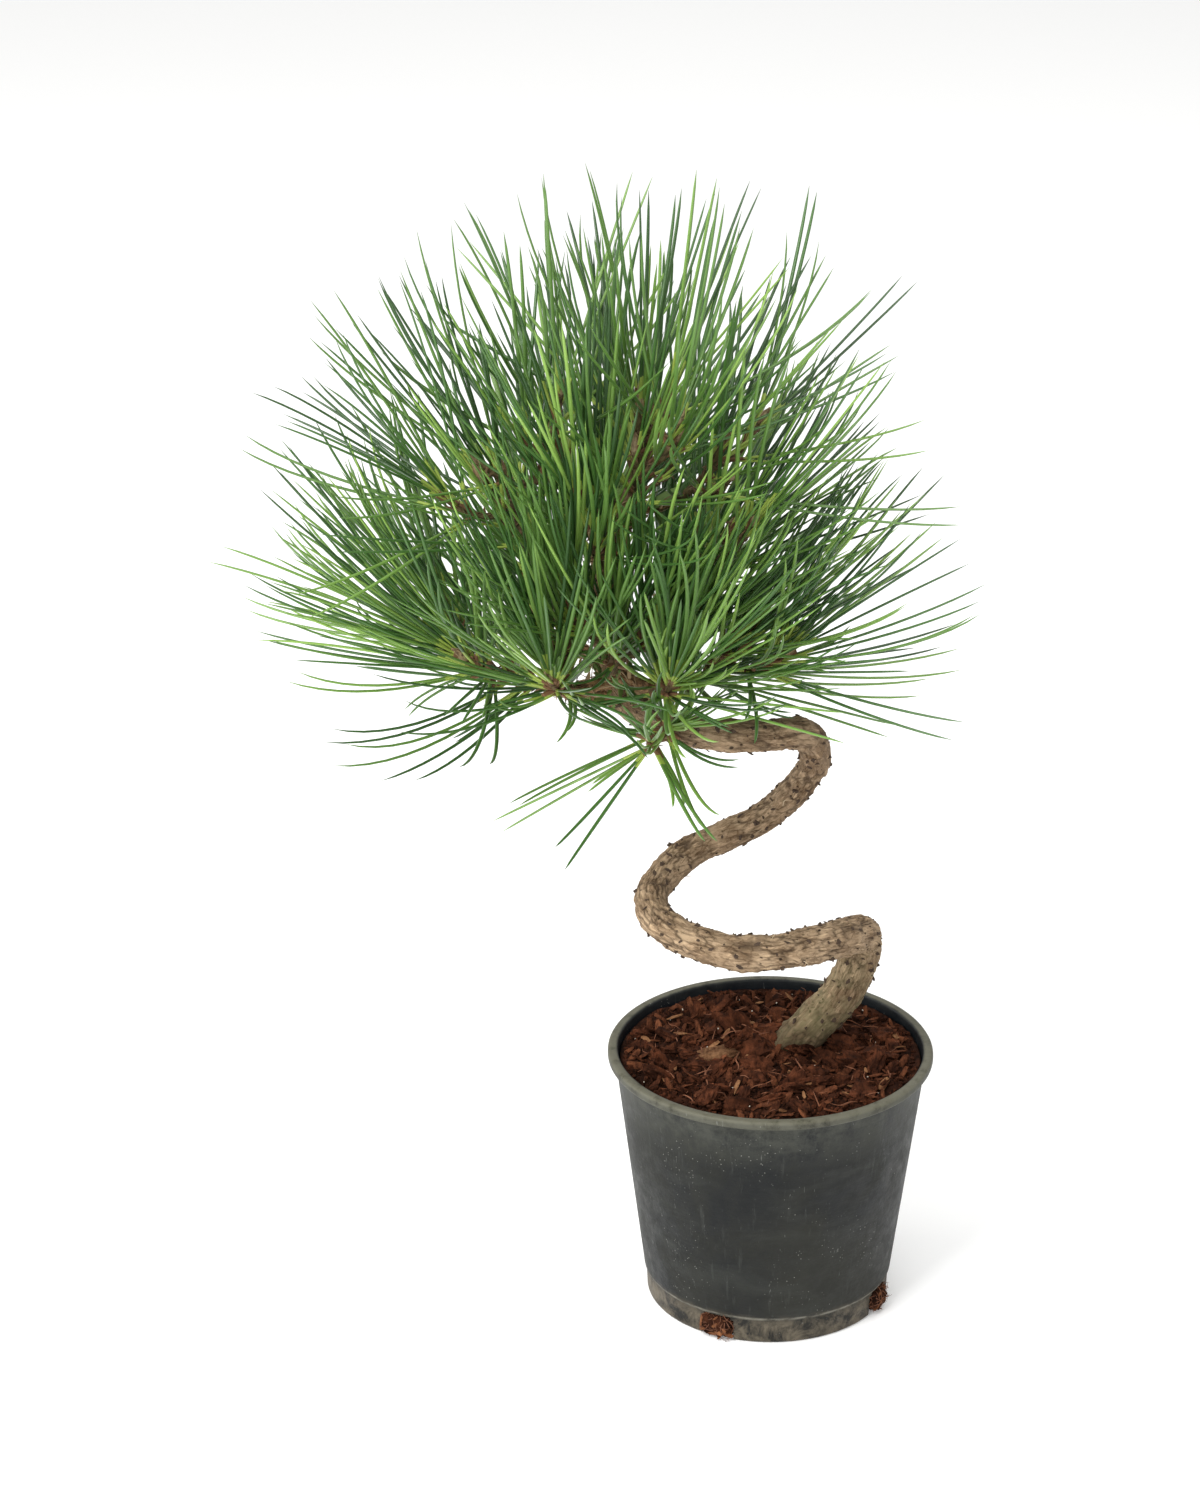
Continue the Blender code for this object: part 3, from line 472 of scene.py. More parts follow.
class Finish:
    """A material and the nodes that paint it, all read from the piece's own coordinates."""

    def __init__(self, name, roughness, colour=(0.5, 0.5, 0.5), **sockets):
        self.material = bpy.data.materials.new(name)
        self.material.use_nodes = True
        self.tree = self.material.node_tree
        self.shader = self.tree.nodes["Principled BSDF"]
        self.shader.inputs["Base Color"].default_value = (*colour, 1.0)
        self.shader.inputs["Roughness"].default_value = roughness
        for socket, value in sockets.items():
            self.shader.inputs[socket.replace("_", " ")].default_value = value
        self.place = self.tree.nodes.new("ShaderNodeTexCoord").outputs["Object"]

    def node(self, kind, inputs, **settings):
        """A node with its settings, and its inputs wired or set."""
        made = self.tree.nodes.new(kind)
        for key, value in settings.items():
            setattr(made, key, value)
        for socket, value in inputs.items():
            if isinstance(value, bpy.types.NodeSocket):
                self.tree.links.new(value, made.inputs[socket])
            else:
                made.inputs[socket].default_value = value
        return made

    def attribute(self, name):
        """A vector that the mesh carries at each point."""
        return self.node("ShaderNodeAttribute", {}, attribute_name=name).outputs["Vector"]

    def stretched(self, scale, place=None):
        """Coordinates stretched along each axis."""
        place = place or self.place
        return self.node("ShaderNodeMapping", {"Vector": place, "Scale": scale}).outputs[0]

    def cloud(self, scale, detail=4.0, rough=0.6, place=None, distortion=0.0):
        """Soft noise from 0 to 1."""
        inputs = {"Vector": place or self.place, "Scale": scale, "Detail": detail,
                  "Roughness": rough, "Distortion": distortion}
        return self.node("ShaderNodeTexNoise", inputs).outputs["Fac"]

    def cells(self, scale, place=None, feature="F1"):
        """Distance to the nearest cell centre or cell border."""
        inputs = {"Vector": place or self.place, "Scale": scale}
        return self.node("ShaderNodeTexVoronoi", inputs, feature=feature).outputs["Distance"]

    def ranged(self, value, low, high, to_low=0.0, to_high=1.0):
        """A value clamped and moved to another range."""
        inputs = {0: value, 1: low, 2: high, 3: to_low, 4: to_high}
        return self.node("ShaderNodeMapRange", inputs).outputs[0]

    def math(self, operation, a, b=0.0):
        """One sum on two values."""
        return self.node("ShaderNodeMath", {0: a, 1: b}, operation=operation).outputs[0]

    def mix(self, factor, a, b, blend="MIX"):
        """Two colours mixed by a factor."""
        a = a if isinstance(a, bpy.types.NodeSocket) else (*a, 1.0)
        b = b if isinstance(b, bpy.types.NodeSocket) else (*b, 1.0)
        made = self.node("ShaderNodeMix", {}, data_type="RGBA", blend_type=blend)
        for index, value in ((0, factor), (6, a), (7, b)):
            if isinstance(value, bpy.types.NodeSocket):
                self.tree.links.new(value, made.inputs[index])
            else:
                made.inputs[index].default_value = value
        return made.outputs[2]

    def height(self):
        """The height above the floor, in metres."""
        return self.node("ShaderNodeSeparateXYZ", {0: self.place}).outputs[2]

    def reach(self):
        """The distance from the pot's axis, in metres."""
        level = self.node("ShaderNodeVectorMath", {0: self.place, 1: (1.0, 1.0, 0.0)},
                          operation="MULTIPLY").outputs[0]
        return self.node("ShaderNodeVectorMath", {0: level}, operation="LENGTH").outputs["Value"]

    def bump(self, height, distance, strength=1.0, under=None):
        """Fine relief over the one under it."""
        inputs = {"Height": height, "Distance": distance, "Strength": strength}
        if under:
            inputs["Normal"] = under
        return self.node("ShaderNodeBump", inputs).outputs[0]

    def paint(self, **sockets):
        """Wire values to the shader's sockets and give the material."""
        for socket, value in sockets.items():
            self.tree.links.new(value, self.shader.inputs[socket.replace("_", " ")])
        return self.material


def pot_finish():
    """Charcoal moulded plastic: cloudy, streaked, with a dusty foot, a weathered lip and a painted
    highlight along the lip's top edge.
    """
    f = Finish("charcoal_plastic", 0.5, Specular_IOR_Level=0.22)
    mottled = f.ranged(f.cloud(34.0, 6.0, 0.66, distortion=0.6), 0.36, 0.66)
    base = f.mix(mottled, (0.0032, 0.0042, 0.0048), (0.0128, 0.0132, 0.0104))
    worn_side = f.ranged(f.cloud(13.0, 3.0, 0.5), 0.46, 0.66, 0.0, 0.55)
    base = f.mix(worn_side, base, (0.020, 0.020, 0.015))
    dusty_bands = f.cloud(1.0, 5.0, 0.6, f.stretched((26.0, 26.0, 75.0)), 0.8)
    base = f.mix(f.ranged(dusty_bands, 0.52, 0.72, 0.0, 0.55), base, (0.026, 0.028, 0.024))
    streaks = f.cloud(1.0, 5.0, 0.7, f.stretched((330.0, 330.0, 18.0)))
    base = f.mix(f.ranged(streaks, 0.58, 0.76, 0.0, 0.50), base, (0.050, 0.053, 0.048))
    level = f.height()
    reach = f.reach()
    lip = f.math("MULTIPLY", f.ranged(level, 0.0945, 0.0965), f.ranged(reach, 0.0564, 0.0572))
    worn = f.ranged(f.cloud(150.0, 6.0, 0.72), 0.34, 0.62)
    base = f.mix(lip, base, f.mix(worn, (0.022, 0.022, 0.015), (0.090, 0.085, 0.060)))
    # Painted highlight: the lip's top edge is lightened, patchy with the wear noise.
    crest_highlight = f.math("MULTIPLY", lip, f.ranged(level, 0.0980, 0.0990, 0.0, 0.75))
    base = f.mix(crest_highlight, base, f.mix(worn, (0.060, 0.058, 0.038), (0.205, 0.190, 0.130)))
    run = f.ranged(level, 0.076, 0.0945, 0.0, 0.65)
    base = f.mix(f.math("MULTIPLY", run, worn), base, (0.072, 0.074, 0.060))
    inside = f.ranged(reach, 0.0566, 0.0560)
    inside = f.math("MULTIPLY", inside, f.ranged(level, 0.0900, 0.0910))
    base = f.mix(inside, base, (0.0075, 0.0100, 0.0130))
    dusty = f.ranged(level, 0.0128, 0.0070)
    patches = f.ranged(f.cloud(110.0, 7.0, 0.75, distortion=0.4), 0.40, 0.58)
    foot = f.mix(patches, (0.010, 0.009, 0.007), (0.118, 0.098, 0.068))
    base = f.mix(f.math("MULTIPLY", dusty, 0.88), base, foot)
    line = f.math("MULTIPLY", f.ranged(level, 0.0095, 0.0102), f.ranged(level, 0.0114, 0.0107))
    broken = f.ranged(f.cloud(190.0, 4.0, 0.6), 0.38, 0.60, 0.1, 0.9)
    base = f.mix(f.math("MULTIPLY", line, broken), base, (0.200, 0.190, 0.155))
    specks = f.ranged(f.cells(620.0), 0.16, 0.07)
    sparse = f.ranged(f.cloud(48.0, 4.0), 0.54, 0.64)
    base = f.mix(f.math("MULTIPLY", specks, sparse), base, (0.20, 0.20, 0.18))
    scuffs = f.cloud(1.0, 3.0, 0.5, f.stretched((700.0, 700.0, 120.0)), 2.0)
    scuffed = f.math("MULTIPLY", f.ranged(scuffs, 0.68, 0.74), f.ranged(dusty_bands, 0.45, 0.6))
    base = f.mix(f.math("MULTIPLY", scuffed, 0.5), base, (0.230, 0.235, 0.220))
    rough = f.ranged(f.math("ADD", mottled, worn), 0.4, 1.6, 0.45, 0.66)
    relief = f.bump(f.cloud(1.0, 4.0, 0.6, f.stretched((90.0, 90.0, 900.0))), 0.0002, 0.35)
    relief = f.bump(f.cloud(700.0, 3.0), 0.0002, 0.35, relief)
    return f.paint(Base_Color=base, Roughness=rough, Normal=relief)


def peat_finish(name, dark, light, coarse):
    """Fibrous brown peat, with painted shade in its hollows: darker where its relief is low."""
    f = Finish(name, 0.95, Specular_IOR_Level=0.08)
    fibres = f.cloud(1.0, 6.0, 0.7, f.stretched((coarse, coarse * 0.35, coarse * 0.6)), 1.2)
    lumps = f.cloud(coarse * 0.4, 5.0, 0.65)
    patches = f.ranged(f.cloud(95.0, 3.0, 0.5), 0.40, 0.62)
    # The colour follows the same noise as the bump: fibre tone, and painted shade where the relief
    # sinks.
    tone_and_hollow_shade = f.ranged(f.math("ADD", fibres, lumps), 0.78, 1.22)
    base = f.mix(f.math("MULTIPLY", tone_and_hollow_shade, f.ranged(patches, 0.0, 1.0, 0.35, 1.0)), dark, light)
    relief = f.bump(f.math("ADD", fibres, lumps), 0.0006, 0.9)
    return f.paint(Base_Color=base, Normal=relief)


def bark_finish(name, pale, tan, brown, foot_colours_and_crown_shade):
    """Flaky bark: pale plates, brown fissures darkened further with painted shade, fine fibres
    along the limb; on the trunk, painted shade towards the crown.
    """
    f = Finish(name, 0.85, Specular_IOR_Level=0.25)
    place = f.attribute("bark_place")
    fibres = f.cloud(1.0, 7.0, 0.74, f.stretched((1050.0, 1050.0, 150.0), place), 0.7)
    blotches = f.cloud(115.0, 6.0, 0.70, place)
    base = f.mix(f.ranged(blotches, 0.38, 0.60), tan, pale)
    flakes = f.cells(1.0, f.stretched((460.0, 460.0, 190.0), place), "DISTANCE_TO_EDGE")
    edges = f.math("MULTIPLY", f.ranged(flakes, 0.07, 0.01), f.ranged(blotches, 0.58, 0.44))
    base = f.mix(f.math("MULTIPLY", edges, 0.55), base, brown)
    base = f.mix(f.ranged(fibres, 0.49, 0.65, 0.0, 0.90), base, brown)
    worn = f.cloud(1.0, 5.0, 0.7, f.stretched((620.0, 620.0, 120.0), place))
    base = f.mix(f.ranged(worn, 0.54, 0.68, 0.0, 0.75), base, [c * 1.55 for c in pale])
    # Painted shade: the bark is darkened in its fissures, by the depth that the relief gives them.
    deep = f.node("ShaderNodeAttribute", {}, attribute_name="fissure").outputs["Fac"]
    base = f.mix(f.math("MULTIPLY", deep, 0.88), base, [c * 0.45 for c in brown])
    spots = f.ranged(f.cells(330.0, place), 0.22, 0.12)
    some = f.ranged(f.cloud(240.0, 3.0, 0.6, place), 0.51, 0.57)
    base = f.mix(f.math("MULTIPLY", spots, some), base, [c * 0.35 for c in brown])
    if foot_colours_and_crown_shade:
        # Painted shade: the trunk's bark darkens upwards into the shade under the crown.
        shaded = f.ranged(f.height(), 0.165, 0.215, 0.0, 0.24)
        base = f.mix(shaded, base, brown)
        low = f.ranged(f.height(), 0.150, 0.098, 0.0, 0.75)
        mossy = f.math("MULTIPLY", low, f.ranged(blotches, 0.34, 0.56))
        base = f.mix(mossy, base, (0.150, 0.140, 0.062))
        # The bark darkens towards the soil line.
        darker_near_soil = f.ranged(f.height(), 0.108, 0.097, 0.0, 0.70)
        base = f.mix(darker_near_soil, base, (0.050, 0.030, 0.015))
    relief = f.bump(fibres, 0.0006, 0.9)
    relief = f.bump(f.cloud(1500.0, 3.0, 0.6, place), 0.0003, 0.7, relief)
    return f.paint(Base_Color=base, Normal=relief)


def plain_finish(name, colour, roughness, **sockets):
    """One plain colour, for small things that are dealt out by kind."""
    return Finish(name, roughness, colour, **sockets).material


def tree_group(name, sockets):
    """An empty Geometry Nodes tree with named inputs, its helper and its two end nodes."""
    group = bpy.data.node_groups.new(name, "GeometryNodeTree")
    group.interface.new_socket("Geometry", in_out="INPUT", socket_type="NodeSocketGeometry")
    for label, kind in sockets:
        group.interface.new_socket(label, in_out="INPUT", socket_type=f"NodeSocket{kind}")
    group.interface.new_socket("Geometry", in_out="OUTPUT", socket_type="NodeSocketGeometry")
    given = group.nodes.new("NodeGroupInput")
    result = group.nodes.new("NodeGroupOutput")

    def add(kind, inputs, **settings):
        made = group.nodes.new(kind)
        for key, value in settings.items():
            setattr(made, key, value)
        for socket, value in inputs.items():
            if isinstance(value, bpy.types.NodeSocket):
                group.links.new(value, made.inputs[socket])
            else:
                made.inputs[socket].default_value = value
        return made

    return group, given.outputs, result.inputs[0], add


def sweep_group():
    """Sweep a small oval section along every line of a mesh, as thick as its points say."""
    group, given, out, add = tree_group("sweep_along_lines", (
        ("Sides", "Int"), ("Half width", "Float"), ("Flatness", "Float"), ("Finish", "Material")))
    lines = add("GeometryNodeMeshToCurve", {"Mesh": given["Geometry"]})
    ring = add("GeometryNodeCurvePrimitiveCircle",
               {"Resolution": given["Sides"], "Radius": given["Half width"]})
    flat = add("ShaderNodeCombineXYZ", {0: 1.0, 1: given["Flatness"], 2: 1.0})
    section = add("GeometryNodeTransform", {"Geometry": ring.outputs[0], "Scale": flat.outputs[0]})
    thick = add("GeometryNodeInputNamedAttribute", {"Name": "thickness"}, data_type="FLOAT")
    swept = add("GeometryNodeCurveToMesh", {
        "Curve": lines.outputs[0], "Profile Curve": section.outputs[0],
        "Scale": thick.outputs[0], "Fill Caps": True})
    smooth = add("GeometryNodeSetShadeSmooth", {"Geometry": swept.outputs[0]})
    real = add("GeometryNodeRealizeInstances", {"Geometry": smooth.outputs[0]})
    finish = add("GeometryNodeSetMaterial",
                 {"Geometry": real.outputs[0], "Material": given["Finish"]})
    group.links.new(finish.outputs[0], out)
    return group


def scatter_group():
    """Scatter copies of a collection's shapes over a surface, at random turns and sizes."""
    group, given, out, add = tree_group("scatter_on_surface", (
        ("Shapes", "Collection"), ("Spacing", "Float"), ("Density", "Float"), ("Seed", "Int"),
        ("Smallest", "Float"), ("Largest", "Float"), ("Tilt", "Float"), ("Lift", "Float"),
        ("Finish", "Material")))
    room = add("GeometryNodeInputNamedAttribute", {"Name": "room"}, data_type="FLOAT")
    points = add("GeometryNodeDistributePointsOnFaces", {
        "Mesh": given["Geometry"], "Distance Min": given["Spacing"],
        "Density Max": given["Density"], "Density Factor": room.outputs[0],
        "Seed": given["Seed"]}, distribute_method="POISSON")
    raised = add("ShaderNodeVectorMath",
                 {0: points.outputs["Normal"], 3: given["Lift"]}, operation="SCALE")
    lifted = add("GeometryNodeSetPosition",
                 {"Geometry": points.outputs[0], "Offset": raised.outputs[0]})
    shapes = add("GeometryNodeCollectionInfo", {
        "Collection": given["Shapes"], "Separate Children": True, "Reset Children": True})
    low = add("ShaderNodeMath", {0: given["Tilt"], 1: -1.0}, operation="MULTIPLY")
    lows = add("ShaderNodeCombineXYZ", {0: low.outputs[0], 1: low.outputs[0], 2: 0.0})
    highs = add("ShaderNodeCombineXYZ", {0: given["Tilt"], 1: given["Tilt"], 2: 6.283})
    turn = add("FunctionNodeRandomValue", {
        "Min": lows.outputs[0], "Max": highs.outputs[0], "Seed": given["Seed"]},
        data_type="FLOAT_VECTOR")
    euler = add("FunctionNodeEulerToRotation", {0: turn.outputs[0]})
    turned = add("FunctionNodeRotateRotation", {
        "Rotation": points.outputs["Rotation"], "Rotate By": euler.outputs[0]},
        rotation_space="LOCAL")
    size = add("FunctionNodeRandomValue", {
        2: given["Smallest"], 3: given["Largest"], "Seed": given["Seed"]}, data_type="FLOAT")
    placed = add("GeometryNodeInstanceOnPoints", {
        "Points": lifted.outputs[0], "Instance": shapes.outputs[0], "Pick Instance": True,
        "Rotation": turned.outputs[0], "Scale": size.outputs[1]})
    real = add("GeometryNodeRealizeInstances", {"Geometry": placed.outputs[0]})
    finish = add("GeometryNodeSetMaterial",
                 {"Geometry": real.outputs[0], "Material": given["Finish"]})
    group.links.new(finish.outputs[0], out)
    return group


def grown(name, mesh, group, **inputs):
    """The plain mesh that a Geometry Nodes tree makes from another mesh."""
    holder = bpy.data.objects.new(name, mesh)
    bpy.context.scene.collection.objects.link(holder)
    step = holder.modifiers.new("grow", "NODES")
    step.node_group = group
    identifiers = {item.name: item.identifier for item in group.interface.items_tree
                   if item.in_out == "INPUT"}
    for label, value in inputs.items():
        step[identifiers[label.replace("_", " ")]] = value
    result = frozen(holder)
    bpy.data.objects.remove(holder, do_unlink=True)
    result.name = name
    return result


def frozen(source):
    """The evaluated mesh of an object, with its modifiers applied."""
    bpy.context.view_layer.update()
    graph = bpy.context.evaluated_depsgraph_get()
    return bpy.data.meshes.new_from_object(source.evaluated_get(graph))


def place(name, mesh, slot, *nodes, finish=None):
    """Put a finished mesh into the frame, on the plant's one body."""
    piece = bpy.data.objects.new(name, mesh)
    bpy.context.scene.collection.objects.link(piece)
    if finish:
        mesh.materials.clear()
        mesh.materials.append(finish)
    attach(piece, "root")
    if nodes:
        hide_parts(*nodes)
    return piece


def mesh_from(name, points, faces=(), edges=(), smooth=True):
    """A mesh from rows of points and faces."""
    mesh = bpy.data.meshes.new(name)
    mesh.from_pydata([tuple(p) for p in points], edges, faces)
    if smooth and faces:
        mesh.shade_smooth()
    return mesh


def set_attribute(mesh, name, kind, values):
    """Give each point of a mesh a value or a vector."""
    layer = mesh.attributes.new(name, kind, "POINT")
    field = "vector" if kind == "FLOAT_VECTOR" else "value"
    layer.data.foreach_set(field, np.asarray(values, dtype=np.float32).ravel())


def fillet(corner, before, after, radius, steps=4):
    """Points of a small arc that rounds one corner of a profile."""
    a = (before - corner).normalized()
    b = (after - corner).normalized()
    start = corner + a * radius
    end = corner + b * radius
    for i in range(steps + 1):
        t = i / steps
        yield start.lerp(corner, t).lerp(corner.lerp(end, t), t)


def wall_radius(height):
    """Outer radius of the pot's tapered wall at a height."""
    under_lip = RIM_RADIUS - LIP_WIDTH + WALL
    low = FOOT_RADIUS + FOOT_STEP
    top = POT_HEIGHT - LIP_DEPTH
    return low + (under_lip - low) * (height - FOOT_HEIGHT) / (top - FOOT_HEIGHT)


def pot_profile():
    """The pot from the middle of its floor, up inside, over the lip and down to its underside."""
    inner_rim = RIM_RADIUS - LIP_WIDTH
    lip_base = POT_HEIGHT - LIP_DEPTH
    corners = (
        (FOOT_RADIUS - 2.4, FLOOR, 0.5),
        (wall_radius(FOOT_HEIGHT) - WALL, FOOT_HEIGHT, 0.8),
        (inner_rim, lip_base, 1.0),
        (inner_rim + 0.1, POT_HEIGHT, 1.1),
        (RIM_RADIUS, POT_HEIGHT, 1.5),
        (RIM_RADIUS, lip_base, 1.1),
        (wall_radius(lip_base), lip_base, 0.5),
        (wall_radius(FOOT_HEIGHT), FOOT_HEIGHT, 0.35),
        (FOOT_RADIUS, FOOT_HEIGHT, 0.3),
        (FOOT_RADIUS - 0.5, 0.0, 1.3),
    )
    spots = [Vector((0.0, FLOOR))] + [Vector(c[:2]) for c in corners] + [Vector((0.0, 0.0))]
    points = [spots[0]]
    for i, (_, _, radius) in enumerate(corners, 1):
        points += fillet(spots[i], spots[i - 1], spots[i + 1], radius)
    points.append(spots[-1])
    return points


def notch_block(bearing):
    """A block over one drain notch at the foot of the wall."""
    bm = bmesh.new()
    bmesh.ops.create_cube(bm, size=1.0)
    inner, outer = FOOT_RADIUS - NOTCH_DEPTH, FOOT_RADIUS + 4.0
    size = (outer - inner, NOTCH_WIDTH, NOTCH_HEIGHT + 4.0)
    middle = ((inner + outer) / 2, 0.0, (NOTCH_HEIGHT - 4.0) / 2)
    for vert in bm.verts:
        vert.co = Vector([(c + v * s) * MM for c, v, s in zip(middle, vert.co, size)])
    bmesh.ops.bevel(bm, geom=list(bm.edges), offset=1.2 * MM, segments=4, affect="EDGES")
    bm.transform(Matrix.Rotation(math.radians(bearing), 4, "Z"))
    mesh = bpy.data.meshes.new("notch_block")
    bm.to_mesh(mesh)
    bm.free()
    block = bpy.data.objects.new("notch_block", mesh)
    bpy.context.scene.collection.objects.link(block)
    return block


def make_pot():
    """The nursery pot, turned, notched and slightly out of true."""
    points = [(p.x * MM, 0.0, p.y * MM) for p in pot_profile()]
    mesh = mesh_from("pot_profile", points, edges=[(i, i + 1) for i in range(len(points) - 1)])
    holder = bpy.data.objects.new("pot_turned", mesh)
    bpy.context.scene.collection.objects.link(holder)
    turn = holder.modifiers.new("turn", "SCREW")
    turn.steps = turn.render_steps = POT_SIDES
    turn.use_merge_vertices = True
    turn.merge_threshold = 0.01 * MM
    holder.data = frozen(holder)
    holder.modifiers.clear()
    bm = bmesh.new()
    bm.from_mesh(holder.data)
    bmesh.ops.remove_doubles(bm, verts=bm.verts, dist=0.01 * MM)
    bmesh.ops.recalc_face_normals(bm, faces=bm.faces)
    bm.to_mesh(holder.data)
    bm.free()
    for bearing in NOTCH_BEARINGS:
        block = notch_block(bearing)
        cut = holder.modifiers.new("notch", "BOOLEAN")
        cut.operation = "DIFFERENCE"
        cut.solver = "EXACT"
        cut.object = block
        holder.data = frozen(holder)
        holder.modifiers.clear()
        bpy.data.objects.remove(block, do_unlink=True)
    mesh = holder.data
    bpy.data.objects.remove(holder, do_unlink=True)
    for vert in mesh.vertices:
        wave = noise.noise(vert.co * 34.0) * 0.25 + noise.noise(vert.co * 120.0) * 0.06
        reach = math.hypot(vert.co.x, vert.co.y)
        if reach > 0.03:
            shrink = 1.0 - (0.12 + wave) * 0.3 * MM / reach
            vert.co.x *= shrink
            vert.co.y *= shrink
    mesh.shade_smooth()
    mesh.set_sharp_from_angle(angle=math.radians(38))
    place("nursery_pot", mesh, "pot_plastic", "pot", finish=pot_finish())


def soil_height(x, y):
    """Height of the lumpy peat in millimetres at a place in millimetres."""
    spot = Vector((x, y, 7.0))
    lump = noise.fractal(spot / 14.0, 0.9, 2.1, 5) * 1.6
    lump += (0.5 - abs(noise.noise(spot / 5.5))) * 1.6
    lump += noise.noise(spot / 2.4) * 0.8
    lump += noise.noise(spot / 1.1) * 0.4
    edge = max(0.0, (math.hypot(x, y) - 49.0) / 6.0)
    return SOIL_LEVEL + lump * (1.0 - 0.5 * edge) + 0.4 * edge


def make_peat(scatter, shapes):
    """The peat's top, with crumbs, bark chunks, chips, fibres and pale grains on it."""
    rings, sides = 62, 168
    points = [(0.0, 0.0, soil_height(0.0, 0.0) * MM)]
    for ring in range(1, rings + 1):
        reach = SOIL_RADIUS * ring / rings
        for side in range(sides):
            angle = 2 * math.pi * (side + 0.5 * (ring % 2)) / sides
            x, y = reach * math.cos(angle), reach * math.sin(angle)
            points.append((x * MM, y * MM, soil_height(x, y) * MM))
    faces = [(0, 1 + i, 1 + (i + 1) % sides) for i in range(sides)]
    for ring in range(rings - 1):
        a, b = 1 + ring * sides, 1 + (ring + 1) * sides
        for i in range(sides):
            j = (i + 1) % sides
            faces.append((a + i, b + i, b + j, a + j))
    low = len(points)
    for side in range(sides):
        x, y, _ = points[low - sides + side]
        points.append((x * 0.97, y * 0.97, (SOIL_LEVEL - 9.0) * MM))
    for i in range(sides):
        j = (i + 1) % sides
        faces.append((low - sides + i, low + i, low + j, low - sides + j))
    faces.append(tuple(low + i for i in reversed(range(sides))))
    bed = mesh_from("peat_bed", points, faces)
    set_attribute(bed, "room", "FLOAT", [0.0] * len(points))
    dark, red = (0.0060, 0.0022, 0.0012), (0.070, 0.024, 0.012)
    place("peat_bed", bed, "peat", "peat", finish=peat_finish("peat_dark", dark, red, 420.0))
    layers = (
        ("peat_crumbs", "crumb", 54.2, 1.5, 420000.0, 3, 0.8, 3.0, 3.1, 0.2,
         peat_finish("peat_crumb", (0.008, 0.003, 0.0015), (0.100, 0.031, 0.014), 700.0)),
        ("bark_chunks", "chunk", 48.8, 6.4, 30000.0, 11, 6.0, 14.0, 0.65, 0.7,
         peat_finish("bark_chunk", (0.014, 0.0045, 0.0022), (0.135, 0.043, 0.019), 480.0)),
        ("bark_slivers", "chip", 52.0, 3.2, 70000.0, 17, 3.0, 8.5, 0.8, 1.0,
         peat_finish("bark_sliver", (0.026, 0.008, 0.004), (0.195, 0.068, 0.030), 620.0)),
        ("tan_chips", "chip", 51.5, 9.5, 8000.0, 23, 2.6, 7.5, 0.6, 1.6,
         peat_finish("tan_chip", (0.110, 0.046, 0.020), (0.330, 0.170, 0.080), 600.0)),
        ("peat_fibres", "fibre", 49.0, 4.2, 20000.0, 31, 5.0, 14.0, 0.5, 1.4,
         plain_finish("peat_fibre", (0.170, 0.060, 0.025), 0.85)),
        ("pale_grains", "crumb", 52.0, 8.5, 9000.0, 47, 0.35, 0.9, 3.1, 1.4,
         plain_finish("pale_grain", (0.46, 0.41, 0.34), 0.8)),
    )
    for name, kind, edge, spacing, density, seed, small, large, tilt, lift, finish in layers:
        ground = bed.copy()
        room = [1.0 if math.hypot(x, y) < edge * MM and z > 0.090 else 0.0 for x, y, z in points]
        ground.attributes["room"].data.foreach_set("value", room)
        mesh = grown(name, ground, scatter, Shapes=shapes[kind], Spacing=spacing * MM,
                     Density=density, Seed=seed, Smallest=small * MM, Largest=large * MM,
                     Tilt=tilt, Lift=lift * MM, Finish=finish)
        place(name, mesh, "peat")
    x, y = BIG_CHIP
    chip = rough_shape("big_chip", (14.5 * MM, 10.5 * MM, 4.6 * MM), 4, 0.35, 41)
    chip.transform(Matrix.Translation((x * MM, y * MM, (soil_height(x, y) + 1.6) * MM))
                   @ Matrix.Rotation(math.radians(24.0), 4, "Z")
                   @ Matrix.Rotation(math.radians(-9.0), 4, "X"))
    chip.shade_smooth()
    finish = peat_finish("big_chip", (0.060, 0.026, 0.012), (0.260, 0.135, 0.066), 420.0)
    place("big_chip", chip, "peat", finish=finish)


